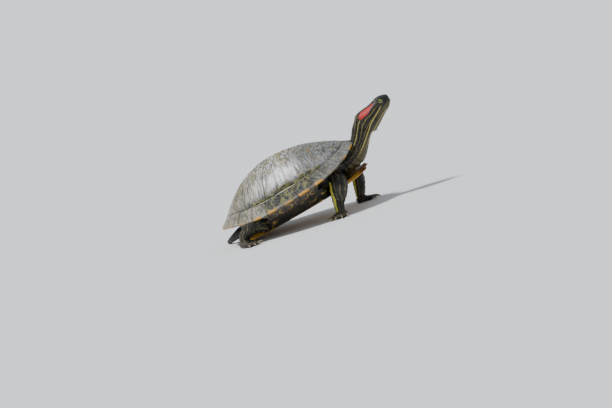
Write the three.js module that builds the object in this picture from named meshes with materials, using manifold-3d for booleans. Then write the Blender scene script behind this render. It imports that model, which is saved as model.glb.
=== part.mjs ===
// A red-eared slider turtle, life size, standing on straight forelegs with its neck stretched up.
// Lengths are millimetres. Everything is shaped in the turtle's own frame: +X towards the head, +Y to its left,
// +Z up through the shell, with the flat of the plastron at z = 0. One group then tilts the animal onto the floor.
import * as THREE from 'three';
import { mergeVertices } from 'three/addons/utils/BufferGeometryUtils.js';
import Module from 'manifold-3d';

const wasm = await Module();
wasm.setup();

// ---- Driving dimensions ---------------------------------------------------------------------------------------

const SHELL_LENGTH = 200;
const SHELL_WIDTH = 152;
const SHELL_HEIGHT = 75;
const RIM_HEIGHT = 24; // lower edge of the marginals at the bridge, above the plastron
const PLATE = 3.2; // thickness of the shell plates
const SHELF_WIDTH = 11; // of the marginals' underside
const GAP = 0.3; // clearance between neighbouring pieces
const BODY_PITCH = THREE.MathUtils.degToRad(13.5); // nose up
const BODY_ROLL = THREE.MathUtils.degToRad(4.5); // right side down
const RIDE_HEIGHT = 20.7; // of the plastron plane's origin above the floor
const FLOOR_OFFSET = { x: 20.4, y: 2.4 }; // from the shell's centre to the middle of the whole animal's box

// ---- Frames -----------------------------------------------------------------------------------------------------

const stance = new THREE.Group();
stance.rotation.set(BODY_ROLL, -BODY_PITCH, 0, 'YXZ');
stance.position.set(0, 0, RIDE_HEIGHT);
stance.updateMatrixWorld(true);
const floorToBody = stance.matrixWorld.clone().invert();

/** A point given over the floor, in the turtle's own frame. */
function overFloor(x, y, z) {
  return new THREE.Vector3(x, y, z).applyMatrix4(floorToBody);
}

const bodyPoint = (x, y, z) => new THREE.Vector3(x, y, z);

// ---- Solids -----------------------------------------------------------------------------------------------------

/** A closed three.js geometry as a solid. */
function solid(geometry) {
  const bare = geometry.index ? geometry.toNonIndexed() : geometry.clone();
  bare.deleteAttribute('normal');
  bare.deleteAttribute('uv');
  const merged = mergeVertices(bare, 1e-4);
  return new wasm.Manifold(new wasm.Mesh({
    numProp: 3,
    vertProperties: new Float32Array(merged.attributes.position.array),
    triVerts: new Uint32Array(merged.index.array),
  }));
}

/** Rings of points, each with the same count, skinned into a closed body with a fan at each end. */
function skinRings(rings) {
  const around = rings[0].length;
  const points = rings.flat();
  const first = points.length;
  const ends = [rings[0], rings[rings.length - 1]];
  for (const ring of ends) {
    const middle = ring.reduce((sum, p) => sum.add(p), new THREE.Vector3()).divideScalar(around);
    points.push(middle);
  }
  const faces = [];
  for (let r = 0; r + 1 < rings.length; r++) {
    for (let k = 0; k < around; k++) {
      const a = r * around + k;
      const b = r * around + (k + 1) % around;
      faces.push(a, b, b + around, a, b + around, a + around);
    }
  }
  const last = (rings.length - 1) * around;
  for (let k = 0; k < around; k++) {
    const next = (k + 1) % around;
    faces.push(first, next, k, first + 1, last + k, last + next);
  }
  const skin = () => solid(new THREE.BufferGeometry().setFromPoints(points).setIndex(faces));
  if (skin().volume() > 0) return skin();
  for (let f = 0; f < faces.length; f += 3) [faces[f + 1], faces[f + 2]] = [faces[f + 2], faces[f + 1]];
  return skin(); // the rings ran the other way, so the faces had to be turned outwards
}

/** A limb along stations of { at, wide, deep }: wide is half its breadth, deep half its depth along up. */
function limb(stations, up = bodyPoint(0, 0, 1), sides = 8) {
  const rings = stations.map(({ at, wide, deep = wide }, i) => {
    const before = stations[Math.max(i - 1, 0)].at;
    const after = stations[Math.min(i + 1, stations.length - 1)].at;
    const along = after.clone().sub(before).normalize();
    const side = new THREE.Vector3().crossVectors(up, along).normalize();
    const top = new THREE.Vector3().crossVectors(along, side);
    return Array.from({ length: sides }, (_, k) => {
      const angle = (k + 0.5) / sides * 2 * Math.PI;
      return at.clone().addScaledVector(side, wide * Math.cos(angle)).addScaledVector(top, deep * Math.sin(angle));
    });
  });
  return skinRings(rings);
}

/** A thin disc that parts a limb at a point, square to a direction. */
function partingDisc(at, along, radius) {
  const disc = new THREE.CylinderGeometry(radius, radius, GAP, 12);
  const turn = new THREE.Quaternion().setFromUnitVectors(bodyPoint(0, 1, 0), along.clone().normalize());
  disc.applyQuaternion(turn).translate(at.x, at.y, at.z);
  return solid(disc);
}

const joined = (solids) => wasm.Manifold.union(solids);

// ---- Shell surfaces ---------------------------------------------------------------------------------------------

const DOME_MIDDLE = -4; // x of the highest point

/** The rim in plan, by the angle round from the nuchal; positive angles are on the turtle's left. */
function rimPlan(angle) {
  const c = Math.cos(angle);
  const s = Math.sin(angle);
  return {
    x: SHELL_LENGTH / 2 * Math.sign(c) * Math.abs(c) ** 0.92,
    y: SHELL_WIDTH / 2 * Math.sign(s) * Math.abs(s) ** 0.88 * (1 - 0.1 * c),
  };
}

/** Where the costals meet the marginals, as a share of the way to the rim; the nuchal is short. */
const seamShare = (angle) => 0.84 + 0.045 * Math.abs(Math.cos(angle / 2)) ** 16;

/** Height of the rim: raised over the neck, level along the bridge, flared over the hind legs. */
function rimHeight(angle) {
  const front = 16 * Math.abs(Math.cos(angle / 2)) ** 14.7;
  const tail = 5 * Math.abs(Math.sin(angle / 2)) ** 10;
  const hip = 4 * Math.exp(-(((Math.abs(angle) / Math.PI - 0.8) / 0.13) ** 2));
  return RIM_HEIGHT + front + tail + hip;
}

/** A point of the dome, share of the way out to the rim, sunk by depth below the outer surface. */
function domePoint(angle, share, depth = 0) {
  const rim = rimPlan(angle);
  const reach = Math.hypot(rim.x - DOME_MIDDLE, rim.y);
  const scale = share * (1 - depth / reach);
  const edge = rimHeight(angle) - 0.35 * depth;
  const fall = share ** (2 + 0.6 * Math.sin(angle) ** 2);
  const flare = 0.05 * Math.sin(Math.PI * share ** 4);
  const height = edge + (SHELL_HEIGHT - depth - edge) * (1 - fall - flare);
  return new THREE.Vector3(DOME_MIDDLE + (rim.x - DOME_MIDDLE) * scale, rim.y * scale, height);
}

/** Rings of the dome from its top out to the rim. */
function domeRings(depth, shares, around) {
  return shares.map((share) => Array.from({ length: around }, (_, k) =>
    domePoint(k / around * 2 * Math.PI - Math.PI, share, depth)));
}

/** The underside of the marginals, a shelf that rises a little from the rim inwards. */
function shelfRing(inset, rise, around) {
  return Array.from({ length: around }, (_, k) => {
    const angle = k / around * 2 * Math.PI - Math.PI;
    const rim = rimPlan(angle);
    const reach = Math.hypot(rim.x - DOME_MIDDLE, rim.y);
    const scale = 1 - inset / reach;
    return bodyPoint(DOME_MIDDLE + (rim.x - DOME_MIDDLE) * scale, rim.y * scale, rimHeight(angle) + rise);
  });
}

/** The carapace as a bowl with thick marginals; grown adds clearance on every side, for cutting. */
function carapaceBowl(grown = 0) {
  const around = 32;
  const outer = domeRings(-grown, [0.08, 0.34, 0.56, 0.74, 0.88, 1], around);
  const inner = domeRings(PLATE + grown, [0.8, 0.45, 0.08], around);
  const lip = shelfRing(1.5 - grown, -0.8 - grown, around);
  const shelf = shelfRing(SHELF_WIDTH + grown, 2 - grown, around);
  const edge = grown ? [shelfRing(-grown, -1.6 * grown, around)] : [];
  return skinRings([...outer, ...edge, lip, shelf, ...inner]);
}

// ---- Carapace plates --------------------------------------------------------------------------------------------

const VERTEBRAL_SEAMS = [52, 14, -25, -62]; // x of the seams between vertebrals 1 to 5
const VERTEBRAL_HALF = 17; // more than half the width of those seams
// The costal seams: where each leaves the vertebrals, and how far forward it leans on its way out.
const COSTAL_SEAMS = [{ x: 34, y: 21, lean: 16 }, { x: -9, y: 22, lean: -14 }, { x: -46, y: 20, lean: -8 }];
const COSTAL_REACH = 66; // y that the costal seams run out to, past the marginal seam
const NUCHAL = { back: 84, frontHalf: 3.5, backHalf: 5.5 };
const TAIL_SEAM = 22; // length of the seam between the last two marginals
const OVERRUN = 5; // of a seam wall past the shell's edge
const WALL_BELOW = 20; // how far the seam walls reach below the plastron and above the shell

/** The seam between the vertebrals and the costals on one side, front to back. */
function vertebralEdge(side) {
  const [first, second, third] = COSTAL_SEAMS;
  const half = [
    [89, 19], [VERTEBRAL_SEAMS[0], 15], [first.x, first.y], [VERTEBRAL_SEAMS[1], 16], [second.x, second.y],
    [VERTEBRAL_SEAMS[2], 16], [third.x, third.y], [VERTEBRAL_SEAMS[3], 12], [-84, 24],
  ];
  return half.map(([x, y]) => new THREE.Vector2(x, side * y));
}

/** The closed seam between the costals and the marginals. */
function marginalSeam() {
  const count = 28;
  return Array.from({ length: count }, (_, k) => {
    const p = domePoint(k / count * 2 * Math.PI, seamShare(k / count * 2 * Math.PI));
    return new THREE.Vector2(p.x, p.y);
  });
}

/** A shape in plan drawn up through the whole shell. */
const upright = (shape) => solid(new THREE.ExtrudeGeometry(shape, {
  depth: SHELL_HEIGHT + 2 * WALL_BELOW, bevelEnabled: false,
}).translate(0, 0, -WALL_BELOW));

/** An upright wall of the gap's thickness that follows a line in plan. */
function seamWall(line, closed = false) {
  const half = GAP / 2;
  const count = line.length;
  const sideOf = (flip) => line.map((p, i) => {
    const before = closed ? line[(i + count - 1) % count] : line[Math.max(i - 1, 0)];
    const after = closed ? line[(i + 1) % count] : line[Math.min(i + 1, count - 1)];
    const inward = p.clone().sub(before).normalize();
    const outward = after.clone().sub(p).normalize();
    const along = inward.add(outward).normalize();
    return new THREE.Vector2(p.x - flip * half * along.y, p.y + flip * half * along.x);
  });
  const left = sideOf(1);
  const right = sideOf(-1);
  if (!closed) return upright(new THREE.Shape([...left, ...right.reverse()]));
  const leftIsOutside = THREE.ShapeUtils.area(left) > THREE.ShapeUtils.area(right);
  const shape = new THREE.Shape(leftIsOutside ? left : right);
  shape.holes.push(new THREE.Path(leftIsOutside ? right : left));
  return upright(shape);
}

/** A straight seam from one plan point to another. */
const straightSeam = (x0, y0, x1, y1) => seamWall([new THREE.Vector2(x0, y0), new THREE.Vector2(x1, y1)]);

/** The seams that reach the shell's edge: round the marginals, beside the nuchal and over the tail. */
function rimSeams() {
  const walls = [
    seamWall(marginalSeam(), true),
    straightSeam(-SHELL_LENGTH / 2 - OVERRUN, 0, -SHELL_LENGTH / 2 + TAIL_SEAM, 0),
  ];
  for (const side of [-1, 1]) {
    const front = SHELL_LENGTH / 2 + OVERRUN;
    walls.push(straightSeam(NUCHAL.back, side * NUCHAL.backHalf, front, side * NUCHAL.frontHalf));
  }
  return joined(walls);
}

/** The seams between the vertebrals and the costals. */
function domeSeams() {
  const walls = VERTEBRAL_SEAMS.map((x) => straightSeam(x, -VERTEBRAL_HALF, x, VERTEBRAL_HALF));
  for (const side of [-1, 1]) {
    walls.push(seamWall(vertebralEdge(side)));
    for (const { x, y, lean } of COSTAL_SEAMS) {
      walls.push(straightSeam(x, side * (y - 0.5), x + lean, side * COSTAL_REACH));
    }
  }
  return joined(walls);
}

// The dome's seam walls run past the marginal seam, so they are cut from the plates inside it alone.
function carapacePlates() {
  const bowl = carapaceBowl();
  const inside = upright(new THREE.Shape(marginalSeam()));
  const edges = rimSeams();
  const dome = bowl.intersect(inside).subtract(edges).subtract(domeSeams());
  return [...dome.decompose(), ...bowl.subtract(inside).subtract(edges).decompose()];
}

// ---- Plastron and bridges ---------------------------------------------------------------------------------------

/** Half the plastron's outline, front to back, as [x, half width]. */
const PLASTRON_HALF = [
  [99, 13], [97, 17], [86, 26], [70, 35], [48, 44], [0, 47], [-34, 45], [-50, 41], [-68, 38], [-80, 29], [-85, 19],
];
const GULAR_NOTCH = 96; // x of the notch between the front plates
const ANAL_NOTCH = -79;
const PLASTRON_THICK = 4;
const FRONT_LOBE = { start: 60, length: 40, rise: 3 }; // turns up a little

function plastronPlate(grown = 0) {
  const left = PLASTRON_HALF.map(([x, half]) => new THREE.Vector2(x + Math.sign(x) * grown, half + grown));
  const right = left.map((p) => new THREE.Vector2(p.x, -p.y)).reverse();
  const notches = [new THREE.Vector2(ANAL_NOTCH - grown, 0), new THREE.Vector2(GULAR_NOTCH + grown, 0)];
  const shape = new THREE.Shape([...left, notches[0], ...right, notches[1]]);
  const plate = new THREE.ExtrudeGeometry(shape, { depth: PLASTRON_THICK + 2 * grown, bevelEnabled: false })
    .translate(0, 0, -grown);
  const position = plate.attributes.position;
  for (let i = 0; i < position.count; i++) {
    const ahead = Math.max(position.getX(i) - FRONT_LOBE.start, 0) / FRONT_LOBE.length;
    position.setZ(i, position.getZ(i) + FRONT_LOBE.rise * ahead ** 2);
  }
  return solid(plate);
}

const BRIDGE = { front: 47, back: -35, foot: 47 };

/** The wall that climbs from the plastron's side to the underside of the marginals. */
function bridgeWall(side, grown = 0) {
  const steps = 5;
  const rings = Array.from({ length: steps + 1 }, (_, i) => {
    const x = BRIDGE.back - grown + (BRIDGE.front - BRIDGE.back + 2 * grown) * i / steps;
    const angle = Math.acos(Math.sign(x) * (Math.abs(x) / (SHELL_LENGTH / 2)) ** (1 / 0.92));
    const rim = rimPlan(angle);
    const edge = rimHeight(angle);
    const foot = BRIDGE.foot + GAP - 2 * Math.abs(i / steps - 0.5) ** 2;
    const profile = [
      [foot - grown, -grown], [foot + 9, 3 - grown], [rim.y - 4 + grown, edge - 8 - grown], [rim.y - 0.5 + grown, edge],
      [rim.y - 6, edge + 3 + grown], [foot + 5 - grown, 9 + grown], [foot - grown, PLASTRON_THICK + grown],
    ];
    return profile.map(([y, z]) => bodyPoint(x, side * y, z));
  });
  return skinRings(rings);
}

// ---- Flesh ------------------------------------------------------------------------------------------------------

const TRUNK_SHARE = 0.76; // how far out the trunk reaches, as a share of the way to the rim

/** The trunk fills the shell and shows as a wall of skin, set back in its front and rear openings. */
function trunkBody() {
  const around = 18;
  const under = PLATE + 3;
  const top = domeRings(under, [0.08, 0.27, 0.45, 0.62, TRUNK_SHARE], around);
  const ringBelow = (share, drop, squeeze) => Array.from({ length: around }, (_, k) => {
    const p = domePoint(k / around * 2 * Math.PI - Math.PI, share, under);
    return bodyPoint(p.x, p.y * squeeze, drop === null ? PLASTRON_THICK + 2 * GAP : p.z - drop);
  });
  return skinRings([...top, ringBelow(TRUNK_SHARE, 14, 0.98), ringBelow(0.68, null, 0.82)]);
}

const NECK_STATIONS = [
  { at: bodyPoint(66, 0, 22), wide: 21, deep: 13 },
  { at: bodyPoint(82, 0, 22.5), wide: 19.5, deep: 14 },
  { at: bodyPoint(94, 0, 25.5), wide: 16, deep: 14.5 },
  { at: bodyPoint(103, 0, 31.5), wide: 13, deep: 12.5 },
  { at: bodyPoint(110, 0, 38.5), wide: 12, deep: 12 },
  { at: bodyPoint(117, 0, 46), wide: 12.4, deep: 13 },
  { at: bodyPoint(125, 0, 52), wide: 12.5, deep: 13.5 },
];

/** The head's cross-sections, back to front: x, top, bottom, half width. */
const HEAD_SECTIONS = [
  [114, 60, 44, 8], [118, 65, 38.5, 12.6], [124, 67.6, 37.2, 14.6], [131, 68.6, 37.8, 15.6], [138, 69.2, 40, 15.4],
  [145, 70.8, 44.2, 14], [151, 72.4, 48.2, 12.6], [157, 73, 51.6, 10.6], [162, 72.2, 54.2, 8.4], [166, 71, 57.6, 5.8],
  [168.2, 69, 62, 3],
];

/** The head, egg-shaped from above, deepest at the jaw's angle, with a blunt snout. */
function headBody() {
  const sides = 12;
  const rings = HEAD_SECTIONS.map(([x, top, bottom, half]) => {
    const middle = bottom + (top - bottom) * 0.56;
    return Array.from({ length: sides }, (_, k) => {
      const angle = (k + 0.5) / sides * 2 * Math.PI;
      const c = Math.cos(angle);
      const s = Math.sin(angle);
      const square = 0.82; // squarer than an ellipse, as the cheeks and the crown are flat
      const y = half * Math.sign(c) * Math.abs(c) ** square;
      const rise = s > 0 ? top - middle : middle - bottom;
      return bodyPoint(x, y, middle + rise * Math.sign(s) * Math.abs(s) ** square);
    });
  });
  return skinRings(rings);
}

const EYE = { x: 157.6, y: 6.9, z: 67, radius: 4.7 };

function eyeBall(side, grown = 0) {
  return solid(new THREE.SphereGeometry(EYE.radius + grown, 10, 6).translate(EYE.x, side * EYE.y, EYE.z));
}

// Each leg is given by its joints over the floor. The feet stand flat, so their soles are cut level.
const RIGHT = -1;
const LEFT = 1;

const FORELEGS = {
  right: {
    heading: -104,
    joints: [[50, -26, 50], [60, -42, 42], [58, -50.5, 29], [54.5, -51, 17.5], [54, -50.5, 8]],
    sizes: [[15, 14], [13, 12], [11.4, 10.5], [7.7, 7.2], [7.8, 5.6]],
  },
  left: {
    heading: 22,
    joints: [[48, 26, 54], [64, 42, 48], [71, 47, 33], [69.5, 46, 17.5], [67, 45.5, 8]],
    sizes: [[15, 14], [11, 10.5], [9.6, 9], [7.8, 7.4], [7.8, 5.6]],
  },
};

const HINDLEGS = {
  right: {
    heading: -48,
    joints: [[-46, -30, 22], [-46, -50, 21.5], [-53, -64, 24], [-69.5, -68, 14], [-71, -68, 6]],
    sizes: [[15, 11], [13, 10.5], [9.5, 9], [7.6, 7], [7.8, 5.6]],
  },
  left: {
    heading: 54,
    joints: [[-46, 30, 26], [-45, 52, 25], [-50, 67, 26], [-67.5, 72, 14], [-69, 72, 6]],
    sizes: [[15, 11], [13, 10.5], [9.5, 9], [7.6, 7], [7.8, 5.6]],
  },
};

const FOREFOOT = { toes: 5, spread: 24, length: 12, palm: 14, wide: 9, deep: 5, toe: 2.7, claw: 7.5 };
const HINDFOOT = { toes: 4, spread: 17, length: 15, palm: 19, wide: 9, deep: 4.6, toe: 2.7, claw: 6.5 };

/** Unit direction along the floor at a compass angle in degrees from +X towards +Y. */
function alongFloor(degrees) {
  const turn = THREE.MathUtils.degToRad(degrees);
  return new THREE.Vector3(Math.cos(turn), Math.sin(turn), 0);
}

/** Where each toe starts, points and ends, over the floor. */
function toeLines(leg, foot) {
  const [x, y] = leg.joints[leg.joints.length - 1];
  const ankle = new THREE.Vector3(x, y, 0);
  return Array.from({ length: foot.toes }, (_, i) => {
    const fan = i - (foot.toes - 1) / 2;
    const way = alongFloor(leg.heading + fan * foot.spread * 0.9);
    const start = ankle.clone().addScaledVector(way, foot.palm * 0.45);
    const reach = foot.palm * 0.45 + foot.length * (1 - 0.06 * fan ** 2);
    const tip = ankle.clone().addScaledVector(way, reach);
    return { way, start, tip };
  });
}

const TOE_HEIGHT = 2.4;
const CLAW_RADIUS = 1.5;
const upFromFloor = overFloor(0, 0, 1).sub(overFloor(0, 0, 0));

/** One claw, a curved cone that starts just beyond the flat end of its toe. */
function clawCone(line, foot) {
  const stations = [0, 0.5, 1].map((share) => {
    const flat = line.tip.clone().addScaledVector(line.way, GAP + share * foot.claw);
    return { at: overFloor(flat.x, flat.y, TOE_HEIGHT - 1.6 * share ** 2), wide: CLAW_RADIUS * (1 - 0.8 * share) };
  });
  return limb(stations, upFromFloor, 5);
}

/** A whole leg: the limb, the palm and its toes, with the web between them. */
function legBody(leg, foot) {
  const stations = leg.joints.map(([x, y, z], i) =>
    ({ at: overFloor(x, y, z), wide: leg.sizes[i][0], deep: leg.sizes[i][1] }));
  const ankle = leg.joints[leg.joints.length - 1];
  const way = alongFloor(leg.heading);
  const palmAt = (share, wide, deep) => ({
    at: overFloor(ankle[0] + way.x * foot.palm * share, ankle[1] + way.y * foot.palm * share, deep * 0.82),
    wide,
    deep,
  });
  const palm = limb([
    palmAt(-0.4, foot.wide * 0.65, foot.deep * 0.8),
    palmAt(0.25, foot.wide * 1.05, foot.deep * 0.95),
    palmAt(0.7, foot.wide * 1.05, foot.deep * 0.6),
    palmAt(0.95, foot.wide * 0.8, foot.deep * 0.4),
  ], upFromFloor);
  const toes = toeLines(leg, foot).map(({ start, tip }) => {
    const at = (share, z) => {
      const p = start.clone().lerp(tip, share);
      return overFloor(p.x, p.y, z);
    };
    return limb([
      { at: at(0, 3), wide: foot.toe * 1.15 },
      { at: at(1, TOE_HEIGHT), wide: foot.toe * 0.8 },
    ], upFromFloor, 5);
  });
  return joined([limb(stations, bodyPoint(1, 0, 0.2)), palm, ...toes]);
}

/** The tail's x, y, height over the floor and half width, from its root to its tip. */
const TAIL_JOINTS = [
  [-66, 0, 16, 9], [-82, 1, 13, 7.5], [-94, 5, 8.5, 5.2], [-102, 12, 4.6, 3.6], [-106, 20, 2.4, 2.6],
  [-107, 28, 1.1, 1.3],
];

/** The tail, short and tapering, curled aside so that it lies on the floor. */
function tailBody() {
  return limb(TAIL_JOINTS.map(([x, y, z, size]) => ({ at: overFloor(x, y, z), wide: size })), upFromFloor, 8);
}

// ---- Parting the flesh ------------------------------------------------------------------------------------------

/** Discs across the neck, the jaw and each joint of a leg. */
function partingCuts() {
  const cuts = [
    partingDisc(bodyPoint(95, 0, 26.5), bodyPoint(0.78, 0, 0.62), 21),
    partingDisc(bodyPoint(118.5, 0, 50.5), bodyPoint(0.86, 0, 0.5), 24),
  ];
  for (const leg of [FORELEGS.right, FORELEGS.left, HINDLEGS.right, HINDLEGS.left]) {
    const [hip, thigh, knee, ankle] = leg.joints.map((joint) => overFloor(...joint));
    const shin = ankle.clone().sub(knee);
    cuts.push(
      partingDisc(thigh, knee.clone().sub(hip), leg.sizes[1][0] * 1.5),
      partingDisc(knee, ankle.clone().sub(thigh), leg.sizes[2][0] * 1.5),
      partingDisc(knee.clone().addScaledVector(shin, 0.7), shin, leg.sizes[3][0] * 1.4),
    );
  }
  cuts.push(partingDisc(overFloor(-84, 1.5, 12.3), overFloor(-94, 5, 8.5).sub(overFloor(-82, 1, 13)), 9.5));
  return joined(cuts);
}

/** The wedge between the two jaws, along the mouth and up the jaw's angle. */
function mouthCut() {
  const corner = 141; // behind this the cut turns down behind the jaw
  const line = [[172, 59.4], [160, 57], [150, 54.2], [corner, 52.8], [137.5, 36]];
  const above = line.map(([x, z]) => new THREE.Vector2(x - (x <= corner ? GAP : 0), z + GAP / 2));
  const below = line.map(([x, z]) => new THREE.Vector2(x, z - GAP / 2)).reverse();
  const cut = new THREE.ExtrudeGeometry(new THREE.Shape([...above, ...below]), { depth: 50, bevelEnabled: false });
  cut.rotateX(Math.PI / 2).translate(0, 25, 0);
  return solid(cut);
}

// ---- Materials --------------------------------------------------------------------------------------------------

const finish = (color, roughness) => new THREE.MeshStandardMaterial({ color, roughness, metalness: 0 });
const HORN = finish(0x8a8468, 0.5);
const RIM_HORN = finish(0x7a6f45, 0.5);
const BELLY = finish(0xc09a45, 0.5);
const SKIN = finish(0x35352a, 0.6);
const EYE_SHINE = finish(0x8a9a3a, 0.15);
const CLAW_HORN = finish(0x4a4438, 0.4);

// ---- Assembly ---------------------------------------------------------------------------------------------------

const turtle = new THREE.Group();
turtle.position.set(-FLOOR_OFFSET.x, -FLOOR_OFFSET.y, 0);
turtle.add(stance);

/** Adds a solid as a named mesh, its geometry centred on the mesh's own position. */
function addPart(name, body, material) {
  const { numProp, vertProperties, triVerts } = body.getMesh();
  const count = vertProperties.length / numProp;
  const position = new Float32Array(count * 3);
  for (let i = 0; i < count; i++) position.set(vertProperties.subarray(i * numProp, i * numProp + 3), i * 3);
  const geometry = new THREE.BufferGeometry()
    .setAttribute('position', new THREE.BufferAttribute(position, 3))
    .setIndex(new THREE.BufferAttribute(triVerts, 1));
  geometry.computeBoundingBox();
  const centre = geometry.boundingBox.getCenter(new THREE.Vector3());
  geometry.translate(-centre.x, -centre.y, -centre.z).computeVertexNormals();
  const mesh = new THREE.Mesh(geometry, material);
  mesh.name = name;
  mesh.position.copy(centre);
  stance.add(mesh);
}

const CRUMB = 20; // mm3, below which a parted body is only a crumb left by the cuts

/** Names the separate bodies of a parted solid by the reference point that each is nearest. */
function nameBodies(bodies, places) {
  const found = new Map();
  for (const body of bodies) {
    if (body.volume() < CRUMB) continue;
    const box = body.boundingBox();
    const middle = new THREE.Vector3(...box.min).add(new THREE.Vector3(...box.max)).multiplyScalar(0.5);
    const [name] = Object.entries(places).reduce((best, entry) =>
      (entry[1].distanceTo(middle) < best[1].distanceTo(middle) ? entry : best));
    found.set(name, found.has(name) ? found.get(name).add(body) : body);
  }
  return found;
}

// The floor, as the block of everything below it.
const ground = solid(new THREE.BoxGeometry(500, 500, 60).translate(0, 0, -30).applyMatrix4(floorToBody));

// Shell.
const shellPlaces = {
  nuchal_scute: bodyPoint(93, 0, 45),
  marginal_rim_right: bodyPoint(0, -45, 35),
  marginal_rim_left: bodyPoint(0, 45, 35),
};
[70, 33, -5, -43, -73].forEach((x, i) => { shellPlaces[`vertebral_scute_${i + 1}`] = bodyPoint(x, 0, 62); });
for (const [name, side] of [['right', RIGHT], ['left', LEFT]]) {
  [56, 15, -26, -62].forEach((x, i) => {
    shellPlaces[`costal_scute_${name}_${i + 1}`] = bodyPoint(x, side * 38, 55);
  });
}
for (const [name, body] of nameBodies(carapacePlates(), shellPlaces)) {
  addPart(name, body, name.startsWith('marginal') ? RIM_HORN : HORN);
}
const grownCarapace = carapaceBowl(GAP);
addPart('plastron', plastronPlate().subtract(ground), BELLY);
for (const [name, side] of [['right', RIGHT], ['left', LEFT]]) {
  const bridge = bridgeWall(side).subtract(grownCarapace).subtract(plastronPlate(GAP));
  addPart(`bridge_${name}`, bridge, BELLY);
}

// Flesh: one body, cleared from the shell, the eyes and the claws, and then parted with thin cuts.
const legs = [
  ['right', FORELEGS.right, FOREFOOT, 'forefoot'], ['left', FORELEGS.left, FOREFOOT, 'forefoot'],
  ['right', HINDLEGS.right, HINDFOOT, 'hindfoot'], ['left', HINDLEGS.left, HINDFOOT, 'hindfoot'],
];
const claws = legs.flatMap(([sideName, leg, foot, footName]) =>
  toeLines(leg, foot).map((line, i) => [`claw_${footName}_${sideName}_${i + 1}`, line, foot]));
const shellClearance = joined([
  grownCarapace, plastronPlate(GAP), bridgeWall(RIGHT, GAP), bridgeWall(LEFT, GAP),
]);
const flesh = joined([
  trunkBody(), limb(NECK_STATIONS, bodyPoint(0, 0, 1), 12), headBody(), tailBody(),
  ...legs.map(([, leg, foot]) => legBody(leg, foot)),
]);
const sockets = joined([eyeBall(RIGHT, GAP), eyeBall(LEFT, GAP)]);
const fleshPlaces = {
  trunk: bodyPoint(-5, 0, 38),
  neck: bodyPoint(108, 0, 40),
  head: bodyPoint(143, 0, 60),
  lower_jaw: bodyPoint(153, 0, 50),
  tail: overFloor(-97, 14, 7),
};
const segments = { forefoot: ['upper_arm', 'forearm'], hindfoot: ['thigh', 'shank'] };
for (const [sideName, leg, foot, footName] of legs) {
  const middleOf = (i) => overFloor(...leg.joints[i]).lerp(overFloor(...leg.joints[i + 1]), 0.5);
  fleshPlaces[`${segments[footName][0]}_${sideName}`] = middleOf(1);
  fleshPlaces[`${segments[footName][1]}_${sideName}`] = middleOf(2);
  const [x, y] = leg.joints[4];
  const way = alongFloor(leg.heading);
  fleshPlaces[`${footName}_${sideName}`] = overFloor(x + way.x * foot.palm * 0.6, y + way.y * foot.palm * 0.6, 4);
}
const parted = flesh.subtract(shellClearance).subtract(ground).subtract(sockets)
  .subtract(partingCuts()).subtract(mouthCut()).decompose();
for (const [name, body] of nameBodies(parted, fleshPlaces)) addPart(name, body, SKIN);

addPart('eye_right', eyeBall(RIGHT), EYE_SHINE);
addPart('eye_left', eyeBall(LEFT), EYE_SHINE);
for (const [name, line, foot] of claws) addPart(name, clawCone(line, foot).subtract(ground), CLAW_HORN);

export default turtle;
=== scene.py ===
import math

import bpy
import numpy as np
from mathutils import Matrix, Vector


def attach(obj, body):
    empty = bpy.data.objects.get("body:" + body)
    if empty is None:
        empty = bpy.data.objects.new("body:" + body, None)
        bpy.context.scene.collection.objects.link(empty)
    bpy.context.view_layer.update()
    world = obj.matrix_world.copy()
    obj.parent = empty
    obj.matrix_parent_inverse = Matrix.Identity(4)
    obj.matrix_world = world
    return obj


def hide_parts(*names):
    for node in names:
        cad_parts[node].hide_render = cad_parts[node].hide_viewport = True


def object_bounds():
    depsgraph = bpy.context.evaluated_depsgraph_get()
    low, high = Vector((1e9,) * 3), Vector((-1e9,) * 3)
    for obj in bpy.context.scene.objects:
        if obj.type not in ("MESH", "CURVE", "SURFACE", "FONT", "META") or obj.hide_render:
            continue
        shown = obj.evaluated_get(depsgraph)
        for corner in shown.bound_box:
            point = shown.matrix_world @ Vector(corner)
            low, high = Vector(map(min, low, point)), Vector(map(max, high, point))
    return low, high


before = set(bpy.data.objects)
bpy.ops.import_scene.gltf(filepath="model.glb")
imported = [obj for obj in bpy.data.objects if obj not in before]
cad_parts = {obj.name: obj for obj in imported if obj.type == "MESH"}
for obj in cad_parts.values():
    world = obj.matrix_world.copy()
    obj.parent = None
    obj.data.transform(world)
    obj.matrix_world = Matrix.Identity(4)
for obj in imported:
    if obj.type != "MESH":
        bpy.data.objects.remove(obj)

cad_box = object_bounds()
bpy.ops.object.select_all(action="DESELECT")

# ==== Stance =====================================================================================
# The turtle stands on straight forelegs with the rear edge of its plastron on the floor. It is
# shaped in its own frame, in millimetres: X to the head, Y to its left, Z up, the plastron at z = 0.

body_pitch = math.radians(13.5)
body_roll = math.radians(4.5)
shell_place = Vector((-20.4, -2.4, 20.7))
mm = 0.001
to_floor = (
    Matrix.Translation(shell_place * mm)
    @ Matrix.Rotation(-body_pitch, 4, "Y")
    @ Matrix.Rotation(body_roll, 4, "X")
    @ Matrix.Scale(mm, 4)
)
to_body = to_floor.inverted()


def from_floor(x, y, z):
    """A place over the floor, measured from under the shell's middle, in the turtle's own frame."""
    return np.array(to_body @ Vector(((x + shell_place.x) * mm, (y + shell_place.y) * mm, z * mm)))


def read_places(piece):
    places = np.empty(len(piece.data.vertices) * 3, np.float32)
    piece.data.vertices.foreach_get("co", places)
    return places.reshape(-1, 3).astype(float)


def read_normals(piece):
    normals = np.empty(len(piece.data.vertices) * 3, np.float32)
    piece.data.vertex_normals.foreach_get("vector", normals)
    return normals.reshape(-1, 3).astype(float)


def write_places(piece, places):
    piece.data.vertices.foreach_set("co", np.asarray(places, np.float32).ravel())
    piece.data.update()


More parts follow.
